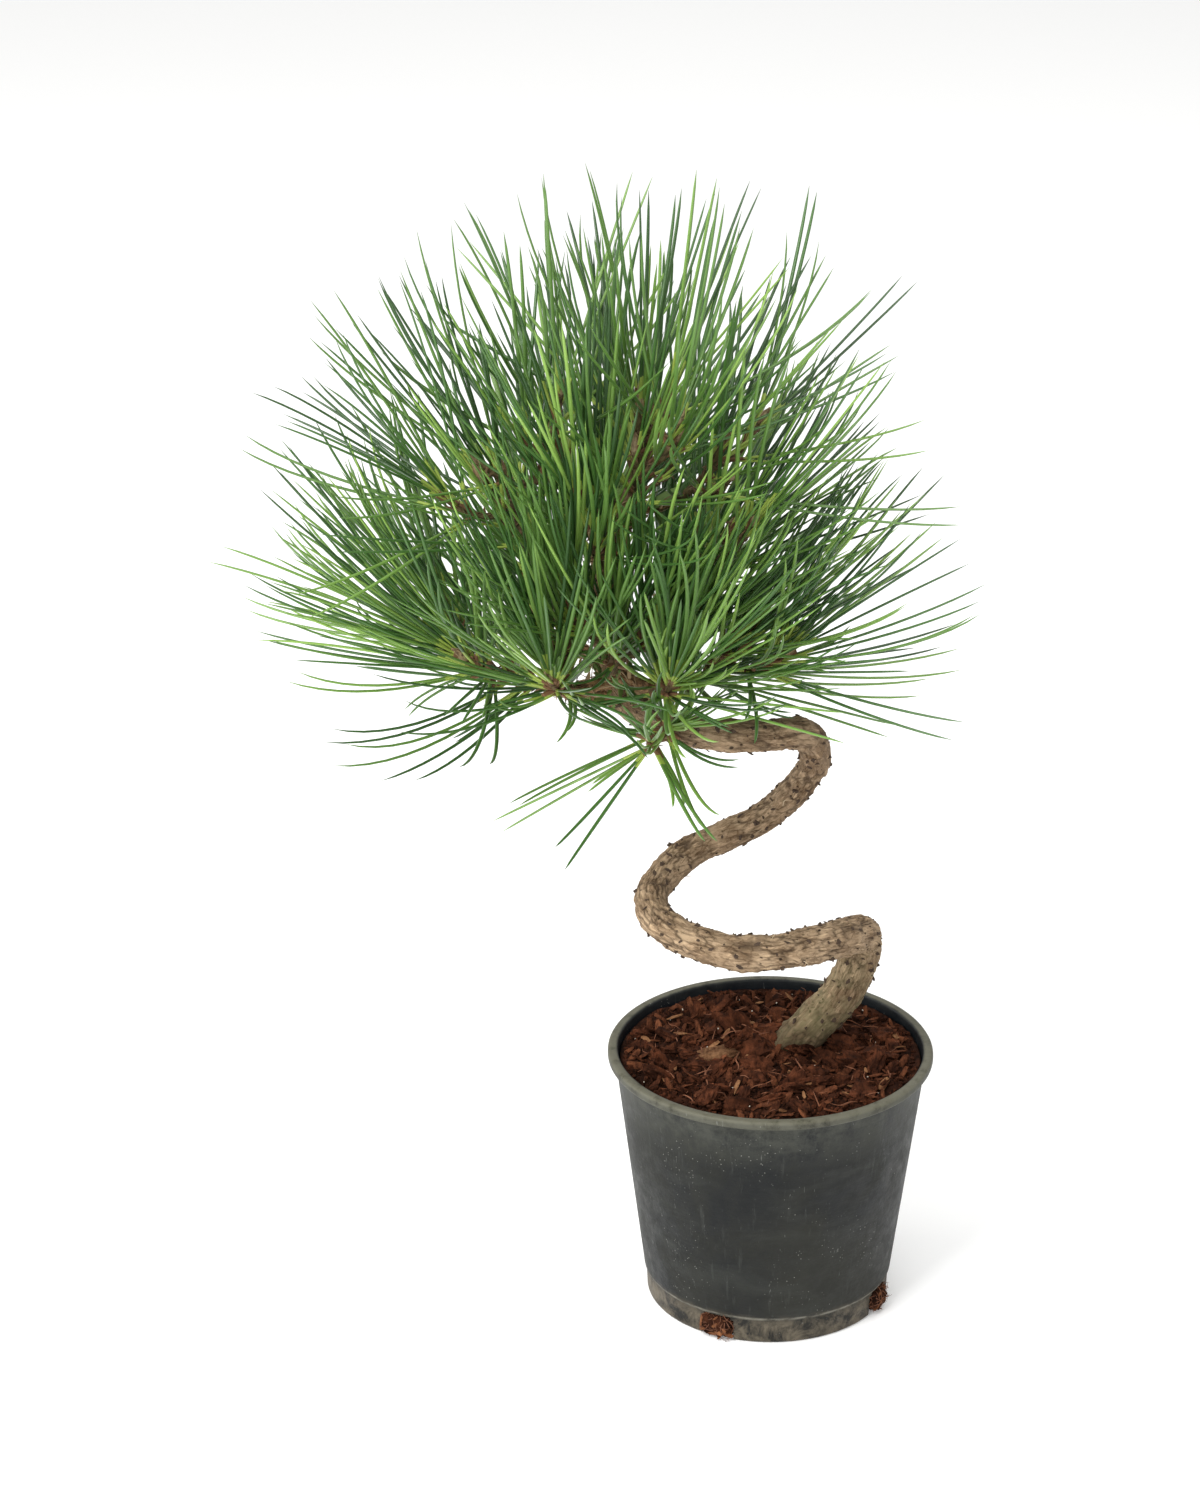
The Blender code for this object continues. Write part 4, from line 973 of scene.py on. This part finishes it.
def make_plugs(scatter, shapes):
    """Tufts of peat and root fibre that bulge out of the drain notches."""
    finish = peat_finish("plug_peat", (0.010, 0.0035, 0.0018), (0.085, 0.030, 0.014), 520.0)
    chips = peat_finish("plug_chip", (0.090, 0.032, 0.014), (0.300, 0.130, 0.058), 600.0)
    threads = plain_finish("plug_fibre", (0.150, 0.056, 0.026), 0.85)
    for number, bearing in enumerate(NOTCH_BEARINGS, 1):
        bm = bmesh.new()
        bmesh.ops.create_icosphere(bm, subdivisions=5, radius=1.0)
        inner, outer = FOOT_RADIUS - NOTCH_DEPTH - 2.0, FOOT_RADIUS + 2.6
        half = Vector(((outer - inner) / 2, NOTCH_WIDTH / 2 + 0.3, NOTCH_HEIGHT / 2 - 0.2))
        middle = Vector(((outer + inner) / 2, 0.0, 0.5 + half.z))
        for vert in bm.verts:
            square = max(abs(c) for c in vert.co)
            spot = vert.co.lerp(vert.co / square, 0.5)
            seed = Vector((number * 7.0, 0.0, 0.0))
            lump = 0.90 + 0.16 * noise.fractal(spot * 2.6 + seed, 0.8, 2.1, 4)
            spot = spot * lump
            vert.co = Vector([(m + c * h) * MM for m, c, h in zip(middle, spot, half)])
            vert.co.z = max(vert.co.z, 0.25 * MM)
        bm.transform(Matrix.Rotation(math.radians(bearing), 4, "Z"))
        lump = bpy.data.meshes.new("plug_lump")
        bm.to_mesh(lump)
        bm.free()
        lump.shade_smooth()
        reaches = [math.hypot(v.co.x, v.co.y) for v in lump.vertices]
        room = [1.0 if r > (FOOT_RADIUS - 1.2) * MM and v.co.z > 1.0 * MM else 0.0
                for r, v in zip(reaches, lump.vertices)]
        set_attribute(lump, "room", "FLOAT", room)
        place(f"plug_{number}_peat", lump, "peat", f"peat_plug_{number}", finish=finish)
        for kind, spacing, density, small, large, tilt, look in (
                ("chip", 2.2, 160000.0, 1.6, 4.6, 1.1, chips),
                ("fibre", 0.9, 600000.0, 2.6, 7.0, 0.9, threads)):
            mesh = grown(f"plug_{number}_{kind}s", lump.copy(), scatter, Shapes=shapes[kind],
                         Spacing=spacing * MM, Density=density, Seed=60 + number,
                         Smallest=small * MM, Largest=large * MM, Tilt=tilt, Lift=0.15 * MM,
                         Finish=look)
            for vert in mesh.vertices:
                vert.co.z = max(vert.co.z, 0.15 * MM)
            place(f"plug_{number}_{kind}s", mesh, "peat")


def rough_shape(name, size, subdivisions, roughness, seed):
    """A closed lump of unit length with a broken, fibrous outline."""
    bm = bmesh.new()
    bmesh.ops.create_icosphere(bm, subdivisions=subdivisions, radius=0.5)
    shift = Vector((seed * 3.7, seed * 1.3, 0.0))
    for vert in bm.verts:
        spot = Vector((vert.co.x * 1.4, vert.co.y * 4.0, vert.co.z * 4.0))
        push = 1.0 + roughness * noise.noise(spot * 1.7 + shift)
        square = max(abs(c) for c in vert.co)
        boxy = vert.co.lerp(vert.co * 0.5 / square, 0.45)
        vert.co = Vector((boxy.x * size[0], boxy.y * size[1], boxy.z * size[2])) * push
    mesh = bpy.data.meshes.new(name)
    bm.to_mesh(mesh)
    bm.free()
    return mesh


def thread_shape(name, seed):
    """A thin bent fibre of unit length."""
    rng = random.Random(name)
    line = Limb([(Vector((x - 0.5, rng.uniform(-0.10, 0.10), rng.uniform(-0.05, 0.10))), 0.016)
                 for x in (0.0, 0.33, 0.66, 1.0)], finer=3)
    points, faces = [], []
    for i, point in enumerate(line.points):
        width = 0.030 * (1.0 - 0.75 * abs(2.0 * i / (len(line.points) - 1) - 1.0))
        for y, z in ((1.0, -0.3), (-1.0, -0.3), (0.0, 0.7)):
            points.append(point + Vector((0.0, y * width, z * width)))
    for i in range(len(line.points) - 1):
        a, b = 3 * i, 3 * i + 3
        for j in range(3):
            k = (j + 1) % 3
            faces.append((a + j, a + k, b + k, b + j))
    faces.append((2, 1, 0))
    faces.append(tuple(len(points) - 3 + j for j in range(3)))
    mesh = mesh_from(f"{name}_{seed}", points, faces, smooth=False)
    fix_outward(mesh)
    return mesh


def fix_outward(mesh):
    """Turn every face outwards."""
    bm = bmesh.new()
    bm.from_mesh(mesh)
    bmesh.ops.recalc_face_normals(bm, faces=bm.faces)
    bm.to_mesh(mesh)
    bm.free()


def scale_shape(name, length, width, lift):
    """A small pointed scale leaf that hugs a twig, its tip lifted off."""
    points = [(-0.25, -width, 0.0), (-0.25, width, 0.0), (length * 0.4, -width * 0.8, lift * 0.4),
              (length * 0.4, width * 0.8, lift * 0.4), (length, 0.0, lift), (0.0, 0.0, -0.25),
              (length * 0.4, 0.0, lift * 0.4 + 0.16)]
    faces = [(0, 2, 6), (1, 6, 3), (0, 6, 1), (2, 4, 6), (3, 6, 4), (0, 5, 2), (1, 3, 5),
             (2, 5, 4), (3, 4, 5), (0, 1, 5)]
    mesh = mesh_from(name, points, faces, smooth=False)
    fix_outward(mesh)
    return mesh


def shape_collection(kind, meshes):
    """A collection that a scatter picks its shapes from, kept out of the scene."""
    group = bpy.data.collections.new(f"shapes_{kind}")
    for number, mesh in enumerate(meshes):
        group.objects.link(bpy.data.objects.new(f"{kind}_{number}", mesh))
    return group


def make_shapes():
    """The small shapes that are scattered: crumbs, bark chunks, chips, fibres, pegs and scales."""
    crumbs = [rough_shape(f"crumb_{i}", (1.0, 0.8, 0.65), 1, 0.5, i) for i in range(4)]
    chunks = [rough_shape(f"chunk_{i}", (1.0, 0.62, 0.34), 3, 0.5, 10 + i) for i in range(5)]
    chips = [rough_shape(f"chip_{i}", (1.0, 0.36, 0.13), 2, 0.45, 20 + i) for i in range(4)]
    threads = [thread_shape(f"fibre_{i}", i) for i in range(6)]
    pegs = [rough_shape(f"peg_{i}", (0.85 + 0.2 * i, 0.6, 0.9 - 0.2 * i), 2, 1.1, 30 + i)
            for i in range(4)]
    scales = [scale_shape(f"scale_{i}", 1.6 + 0.3 * i, 0.42, 0.55 + 0.1 * i) for i in range(3)]
    kinds = {"crumb": crumbs, "chunk": chunks, "chip": chips, "fibre": threads,
             "peg": pegs, "scale": scales}
    return {kind: shape_collection(kind, meshes) for kind, meshes in kinds.items()}


def bark_relief(place_on, radius):
    """How far the bark stands out at a spot of the limb's surface, and how deep its fissure is."""
    spot = place_on / (2.6 * MM)
    spot.z *= 0.30
    spot += noise.noise_vector(place_on / (5.0 * MM)) * 0.45
    near = noise.voronoi(spot)[0]
    seam = near[1] - near[0]
    fissure = max(0.0, 1.0 - seam / 0.16)
    patch = noise.noise(place_on / (9.0 * MM)) * 0.5 + 0.5
    fissure *= min(1.0, max(0.0, patch * 2.6 - 0.50))
    fibres = noise.noise(Vector((place_on.x, place_on.y, place_on.z * 0.28)) / (0.9 * MM))
    swell = noise.noise(place_on / (10.0 * MM)) * 0.75
    knobs = max(0.0, noise.noise(place_on / (3.6 * MM)) - 0.18) * 1.5
    grain = noise.noise(place_on / (1.4 * MM)) * 0.26
    height = swell + knobs + grain + fibres * 0.26 - fissure * 0.42 + 0.02
    return height * min(1.0, radius / (5.0 * MM)) * MM, fissure


def bark_tube(points, radii, sides, shape=None, relief=1.0, shift=0.0):
    """Rings of points round a path with bark relief; gives points, faces, places and fissures."""
    count = len(points)
    tangents = [(points[min(i + 1, count - 1)] - points[max(i - 1, 0)]).normalized()
                for i in range(count)]
    side = tangents[0].cross(UP)
    if side.length < 0.2:
        side = tangents[0].cross(Vector((1.0, 0.0, 0.0)))
    side.normalize()
    rows, places, fissures, faces = [], [], [], []
    along = shift
    for i, (point, radius) in enumerate(zip(points, radii)):
        if i:
            along += (point - points[i - 1]).length
            side = (side - tangents[i] * side.dot(tangents[i])).normalized()
        across = tangents[i].cross(side)
        for j in range(sides):
            angle = 2 * math.pi * j / sides
            out = side * math.cos(angle) + across * math.sin(angle)
            spot = Vector((math.cos(angle) * radius, math.sin(angle) * radius, along))
            lift, fissure = bark_relief(spot, radius)
            reach = radius + lift * relief
            row = point + out * reach
            if shape:
                row += shape(point, out, reach)
            rows.append(row)
            places.append(spot)
            fissures.append(fissure)
    for i in range(count - 1):
        for j in range(sides):
            k = (j + 1) % sides
            a, b = i * sides, (i + 1) * sides
            faces.append((a + j, a + k, b + k, b + j))
    for ring, centre, turn in ((0, points[0], -1), (count - 1, points[-1], 1)):
        rows.append(centre)
        places.append(Vector((0.0, 0.0, shift)))
        fissures.append(0.0)
        hub = len(rows) - 1
        for j in range(sides):
            k = (j + 1) % sides
            a, b = ring * sides + j, ring * sides + k
            faces.append((hub, b, a) if turn < 0 else (hub, a, b))
    return rows, faces, places, fissures


def join_tubes(name, tubes):
    """One mesh from several tubes, with the bark's coordinates and fissures at its points."""
    rows, faces, places, fissures = [], [], [], []
    for tube_rows, tube_faces, tube_places, tube_fissures in tubes:
        first = len(rows)
        rows += tube_rows
        faces += [tuple(first + i for i in face) for face in tube_faces]
        places += tube_places
        fissures += tube_fissures
    mesh = mesh_from(name, rows, faces)
    set_attribute(mesh, "bark_place", "FLOAT_VECTOR", [tuple(p) for p in places])
    set_attribute(mesh, "fissure", "FLOAT", fissures)
    fix_outward(mesh)
    return mesh


def root_flare(point, out, reach):
    """How far the foot of the trunk spreads where surface roots leave it."""
    height = (point.z + out.z * reach) / MM
    ease = min(1.0, max(0.0, (113.0 - height) / 17.0)) ** 2
    if ease <= 0.0:
        return Vector((0.0, 0.0, 0.0))
    bearing = math.degrees(math.atan2(out.y, out.x))
    push = 0.0
    for root, size, width in SURFACE_ROOTS:
        turn = (bearing - root + 180.0) % 360.0 - 180.0
        push += size * math.exp(-(turn / width) ** 2)
    level = Vector((out.x, out.y, -0.25))
    return level * (push * ease * MM)


def make_bark(trunk, masses, scatter, shapes):
    """Trunk and boughs in flaky bark, with the dark pegs that old scale leaves left."""
    points, radii = trunk.spots(0.0, trunk.length, 0.85 * MM)
    tube = bark_tube(points, radii, 84, shape=root_flare)
    mesh = join_tubes("trunk_bark", [tube])
    trunk_nodes = [node for node in frame["nodes"] if node.startswith("trunk_")]
    finish = bark_finish("trunk_bark", (0.385, 0.275, 0.170), (0.225, 0.148, 0.084),
                         (0.068, 0.037, 0.017), True)
    place("trunk_bark", mesh, "bark", *trunk_nodes, finish=finish)
    set_attribute(mesh, "room", "FLOAT",
                  [1.0 if v.co.z > 0.102 else 0.0 for v in mesh.vertices])
    pegs = grown("bark_pegs", mesh.copy(), scatter, Shapes=shapes["peg"], Spacing=3.3 * MM,
                 Density=30000.0, Seed=5, Smallest=0.6 * MM, Largest=2.2 * MM, Tilt=0.7,
                 Lift=0.15 * MM, Finish=plain_finish("bark_peg", (0.052, 0.031, 0.018), 0.9))
    place("bark_pegs", pegs, "bark")
    threads = grown("bark_threads", mesh.copy(), scatter, Shapes=shapes["fibre"],
                    Spacing=11.0 * MM, Density=1600.0, Seed=14, Smallest=3.0 * MM,
                    Largest=9.0 * MM, Tilt=1.3, Lift=0.4 * MM,
                    Finish=plain_finish("bark_thread", (0.420, 0.330, 0.215), 0.9))
    place("bark_threads", threads, "bark")
    tubes = []
    for mass in masses:
        if not mass.has_bough:
            continue
        line, widths = mass.limb.spots(0.0, mass.joint, 0.8 * MM)
        parent = trunk.at(trunk.length_at_height(line[0].z))[1]
        for i, spot in enumerate(line):
            collar = max(0.0, 1.0 - ((spot - line[0]).length - parent * 0.7) / (4.0 * MM))
            widths[i] *= 1.0 + 0.28 * min(1.0, collar)
        tubes.append(bark_tube(line, widths, 36, relief=0.8, shift=len(tubes) * 0.31))
    mesh = join_tubes("bough_bark", tubes)
    nodes = [node for node in frame["nodes"] if node.startswith("bough_")]
    finish = bark_finish("bough_bark", (0.390, 0.240, 0.120), (0.250, 0.138, 0.065),
                         (0.080, 0.040, 0.018), False)
    place("bough_bark", mesh, "bough_bark", *nodes, finish=finish)
    set_attribute(mesh, "room", "FLOAT", [1.0] * len(mesh.vertices))
    looks = (("dry_wisps", "fibre", 3.0, 60000.0, 4.0, 15.0, (0.300, 0.200, 0.105)),
             ("dry_scales", "chip", 3.4, 50000.0, 3.0, 8.5, (0.380, 0.260, 0.140)),
             ("young_shoots", "chip", 4.4, 30000.0, 6.0, 13.0, (0.110, 0.190, 0.035)))
    for number, (name, kind, spacing, density, small, large, colour) in enumerate(looks):
        wisps = grown(name, mesh.copy(), scatter, Shapes=shapes[kind], Spacing=spacing * MM,
                      Density=density, Seed=71 + number, Smallest=small * MM,
                      Largest=large * MM, Tilt=1.0, Lift=0.6 * MM,
                      Finish=plain_finish(name, colour, 0.7))
        place(name, wisps, "bough_bark")


def make_twigs(masses, scatter, shapes):
    """Scaly twigs from the boughs' ends to the shoot tips, and the buds there."""
    tubes, buds = [], []
    for mass in masses:
        for number, twig in enumerate(mass.twigs):
            start = mass.joint if number == 0 else 0.0
            line, widths = twig.spots(start, twig.length, 0.9 * MM)
            tubes.append(bark_tube(line, widths, 18, relief=0.9, shift=len(tubes) * 0.23))
            rng = random.Random(f"bud {mass.name} {number}")
            tip, heading = twig.at(twig.length)[0], twig.heading(twig.length)
            size = rng.uniform(0.45, 0.80)
            profile = ((-1.5, 1.2), (1.2, 2.0), (4.0, 2.1), (7.0, 1.5), (10.0, 0.35))
            path = Limb([(tip + heading * reach * size * MM, width * size * MM)
                         for reach, width in profile], finer=5)
            spots, thick = path.spots(0.0, path.length, 0.5 * MM)
            buds.append(bark_tube(spots, thick, 14, relief=0.8, shift=len(buds) * 0.17))
    mesh = join_tubes("twig_bark", tubes)
    finish = bark_finish("twig_bark", (0.160, 0.125, 0.055), (0.085, 0.066, 0.028),
                         (0.040, 0.026, 0.011), False)
    place("twig_bark", mesh, "needles", finish=finish)
    set_attribute(mesh, "room", "FLOAT", [1.0] * len(mesh.vertices))
    scales = grown("twig_scales", mesh.copy(), scatter, Shapes=shapes["scale"],
                   Spacing=1.1 * MM, Density=300000.0, Seed=9, Smallest=0.8 * MM,
                   Largest=1.7 * MM, Tilt=0.5, Lift=0.1 * MM,
                   Finish=plain_finish("twig_scale", (0.130, 0.080, 0.036), 0.8))
    place("twig_scales", scales, "needles")
    mesh = join_tubes("shoot_buds", buds)
    finish = bark_finish("shoot_bud", (0.420, 0.330, 0.200), (0.260, 0.165, 0.085),
                         (0.140, 0.075, 0.035), False)
    place("shoot_buds", mesh, "needles", finish=finish)


def needle_curve(root, knee, tip, count):
    """Points of a smooth line from a needle's root over its bend to its tip."""
    control = knee * 2.0 - (root + tip) * 0.5
    for i in range(count):
        t = i / (count - 1)
        yield root.lerp(control, t).lerp(control.lerp(tip, t), t)


class Lines:
    """Lines that are collected for one sweep, with their thickness at each point."""

    def __init__(self):
        self.points, self.edges, self.thickness = [], [], []

    def add(self, points, thickness):
        """Take up one line."""
        first = len(self.points)
        self.points += points
        self.edges += [(first + i, first + i + 1) for i in range(len(points) - 1)]
        self.thickness += thickness

    def swept(self, name, sweep, sides, half_width, flatness, finish):
        """The mesh of all lines, swept with an oval section."""
        mesh = mesh_from(name, self.points, edges=self.edges)
        set_attribute(mesh, "thickness", "FLOAT", self.thickness)
        return grown(name, mesh, sweep, Sides=sides, Half_width=half_width,
                     Flatness=flatness, Finish=finish)


def make_needles(masses, sweep):
    """Every needle pair: two blades, their pale feet, and the brown sheath that holds them."""
    blades = {name: Lines() for name, _, _ in GREENS}
    feet, sheaths = Lines(), Lines()
    steps = 11
    for mass in masses:
        for number, (root, knee, tip) in enumerate(mass.needles):
            rng = random.Random(f"{mass.name} needle {number}")
            pick = rng.random()
            if mass.name in YOUNG_MASSES:
                pick = 0.40 + 0.60 * pick
            for name, _, part in GREENS:
                pick -= part
                if pick <= 0.0:
                    break
            aim = (knee - root).normalized()
            around = leaning(aim, 90.0, rng.uniform(0.0, 360.0))
            sway = leaning(aim, 90.0, rng.uniform(0.0, 360.0)) * rng.uniform(0.0, SWAY * MM)
            tip = tip + sway
            knee = knee - sway * 0.35
            for way in (-1.0, 1.0):
                turn = Matrix.Rotation(math.radians(way * PAIR_ANGLE * rng.uniform(0.4, 1.5)),
                                       3, around)
                end = root + (turn @ (tip - root)) * rng.uniform(0.95, 1.0)
                bend = root + turn @ (knee - root)
                line = list(needle_curve(root, bend, end, steps))
                curve = [0.80 + 0.20 * math.sin(math.pi * min(1.0, i / (steps - 1) * 1.3))
                         for i in range(steps)]
                taper = [min(1.0, (1.0 - i / (steps - 1)) / 0.14) ** 0.8 for i in range(steps)]
                thick = [c * max(t, 0.06) for c, t in zip(curve, taper)]
                blades[name].add(line, thick)
                reach = FOOT_SHARE * rng.uniform(0.8, 1.3)
                foot = list(needle_curve(root, bend, end, 41))[:max(4, round(41 * reach))]
                feet.add(foot, [0.86] * (len(foot) - 1) + [0.70])
            length = SHEATH_LENGTH * MM * rng.uniform(0.75, 1.2)
            sheath = [root + aim * length * t for t in (0.0, 0.35, 0.75, 1.0)]
            sheaths.add(sheath, [0.85, 1.0, 0.95, 0.8])
    nodes = [node for node in frame["nodes"] if node.startswith("needles_")]
    for name, colour, _ in GREENS:
        finish = plain_finish(name, colour, 0.38, Specular_IOR_Level=0.5,
                              Subsurface_Weight=0.0, Coat_Weight=0.12, Coat_Roughness=0.3)
        mesh = blades[name].swept(name, sweep, 5, NEEDLE_HALF_WIDTH * MM, 0.62, finish)
        place(name, mesh, "needles", *nodes)
        nodes = []
    finish = plain_finish("needle_foot", (0.330, 0.440, 0.080), 0.45)
    mesh = feet.swept("needle_feet", sweep, 5, NEEDLE_HALF_WIDTH * 1.12 * MM, 0.66, finish)
    place("needle_feet", mesh, "needles")
    finish = plain_finish("sheath", (0.170, 0.085, 0.038), 0.8)
    mesh = sheaths.swept("needle_sheaths", sweep, 6, SHEATH_RADIUS * MM, 0.9, finish)
    place("needle_sheaths", mesh, "needles")


def make_floor():
    """A plain pale floor, far larger than the plant and faintly lit from within."""
    bm = bmesh.new()
    bmesh.ops.create_grid(bm, x_segments=40, y_segments=40, size=6.0)
    mesh = bpy.data.meshes.new("floor")
    bm.to_mesh(mesh)
    bm.free()
    floor = bpy.data.objects.new("floor", mesh)
    bpy.context.scene.collection.objects.link(floor)
    finish = Finish("floor_paint", 0.7, (0.90, 0.90, 0.89), Emission_Color=(1.0, 1.0, 1.0, 1.0),
                    Emission_Strength=0.16)
    soft = finish.cloud(1.3, 2.0, 0.5)
    colour = finish.mix(soft, (0.88, 0.88, 0.87), (0.92, 0.92, 0.91))
    mesh.materials.append(finish.paint(Base_Color=colour))


def add_light(name, spot, target, size, power, colour=(1.0, 1.0, 1.0)):
    """A soft square studio light aimed at a spot."""
    lamp = bpy.data.lights.new(name, "AREA")
    lamp.shape = "SQUARE"
    lamp.size = size
    lamp.energy = power
    lamp.color = colour
    made = bpy.data.objects.new(name, lamp)
    made.location = spot
    aim = Vector(target) - Vector(spot)
    made.rotation_euler = aim.to_track_quat("-Z", "Y").to_euler()
    bpy.context.scene.collection.objects.link(made)


def make_studio():
    """Soft light all round, brighter from above and the front, and a white sky."""
    world = bpy.data.worlds.new("studio")
    world.use_nodes = True
    world.node_tree.nodes["Background"].inputs[0].default_value = (1.0, 1.0, 1.0, 1.0)
    world.node_tree.nodes["Background"].inputs[1].default_value = 0.62
    bpy.context.scene.world = world
    middle = (-0.03, 0.0, 0.22)
    add_light("key_light", (-0.9, -1.1, 1.6), middle, 0.8, 35.0)
    add_light("front_light", (-0.2, -1.6, 0.5), middle, 1.0, 8.0)
    add_light("fill_light", (1.3, -0.8, 0.9), middle, 1.2, 2.0)
    add_light("side_light", (-1.5, 0.1, 0.6), middle, 0.8, 9.0)
    add_light("top_light", (0.2, 0.6, 1.8), middle, 1.0, 11.0)


def make_camera():
    """The photograph's camera: a long lens that looks down at the pot."""
    lens = bpy.data.cameras.new("camera")
    lens.lens = 113.2
    lens.sensor_width = 36.0
    lens.clip_end = 50.0
    camera = bpy.data.objects.new("camera", lens)
    camera.location = (-0.0628, -1.5513, 0.8919)
    camera.rotation_euler = (math.radians(90.0 - 23.46), 0.0, 0.0)
    bpy.context.scene.collection.objects.link(camera)
    bpy.context.scene.camera = camera


def main():
    bpy.context.scene.view_settings.view_transform = "Standard"
    make_camera()
    make_studio()
    make_floor()
    sweep, scatter, shapes = sweep_group(), scatter_group(), make_shapes()
    trunk = trunk_path()
    masses = grow_crown(trunk)
    make_pot()
    make_peat(scatter, shapes)
    make_plugs(scatter, shapes)
    make_bark(trunk, masses, scatter, shapes)
    make_twigs(masses, scatter, shapes)
    make_needles(masses, sweep)
    for group in shapes.values():
        for item in list(group.objects):
            bpy.data.objects.remove(item, do_unlink=True)
        bpy.data.collections.remove(group)


main()
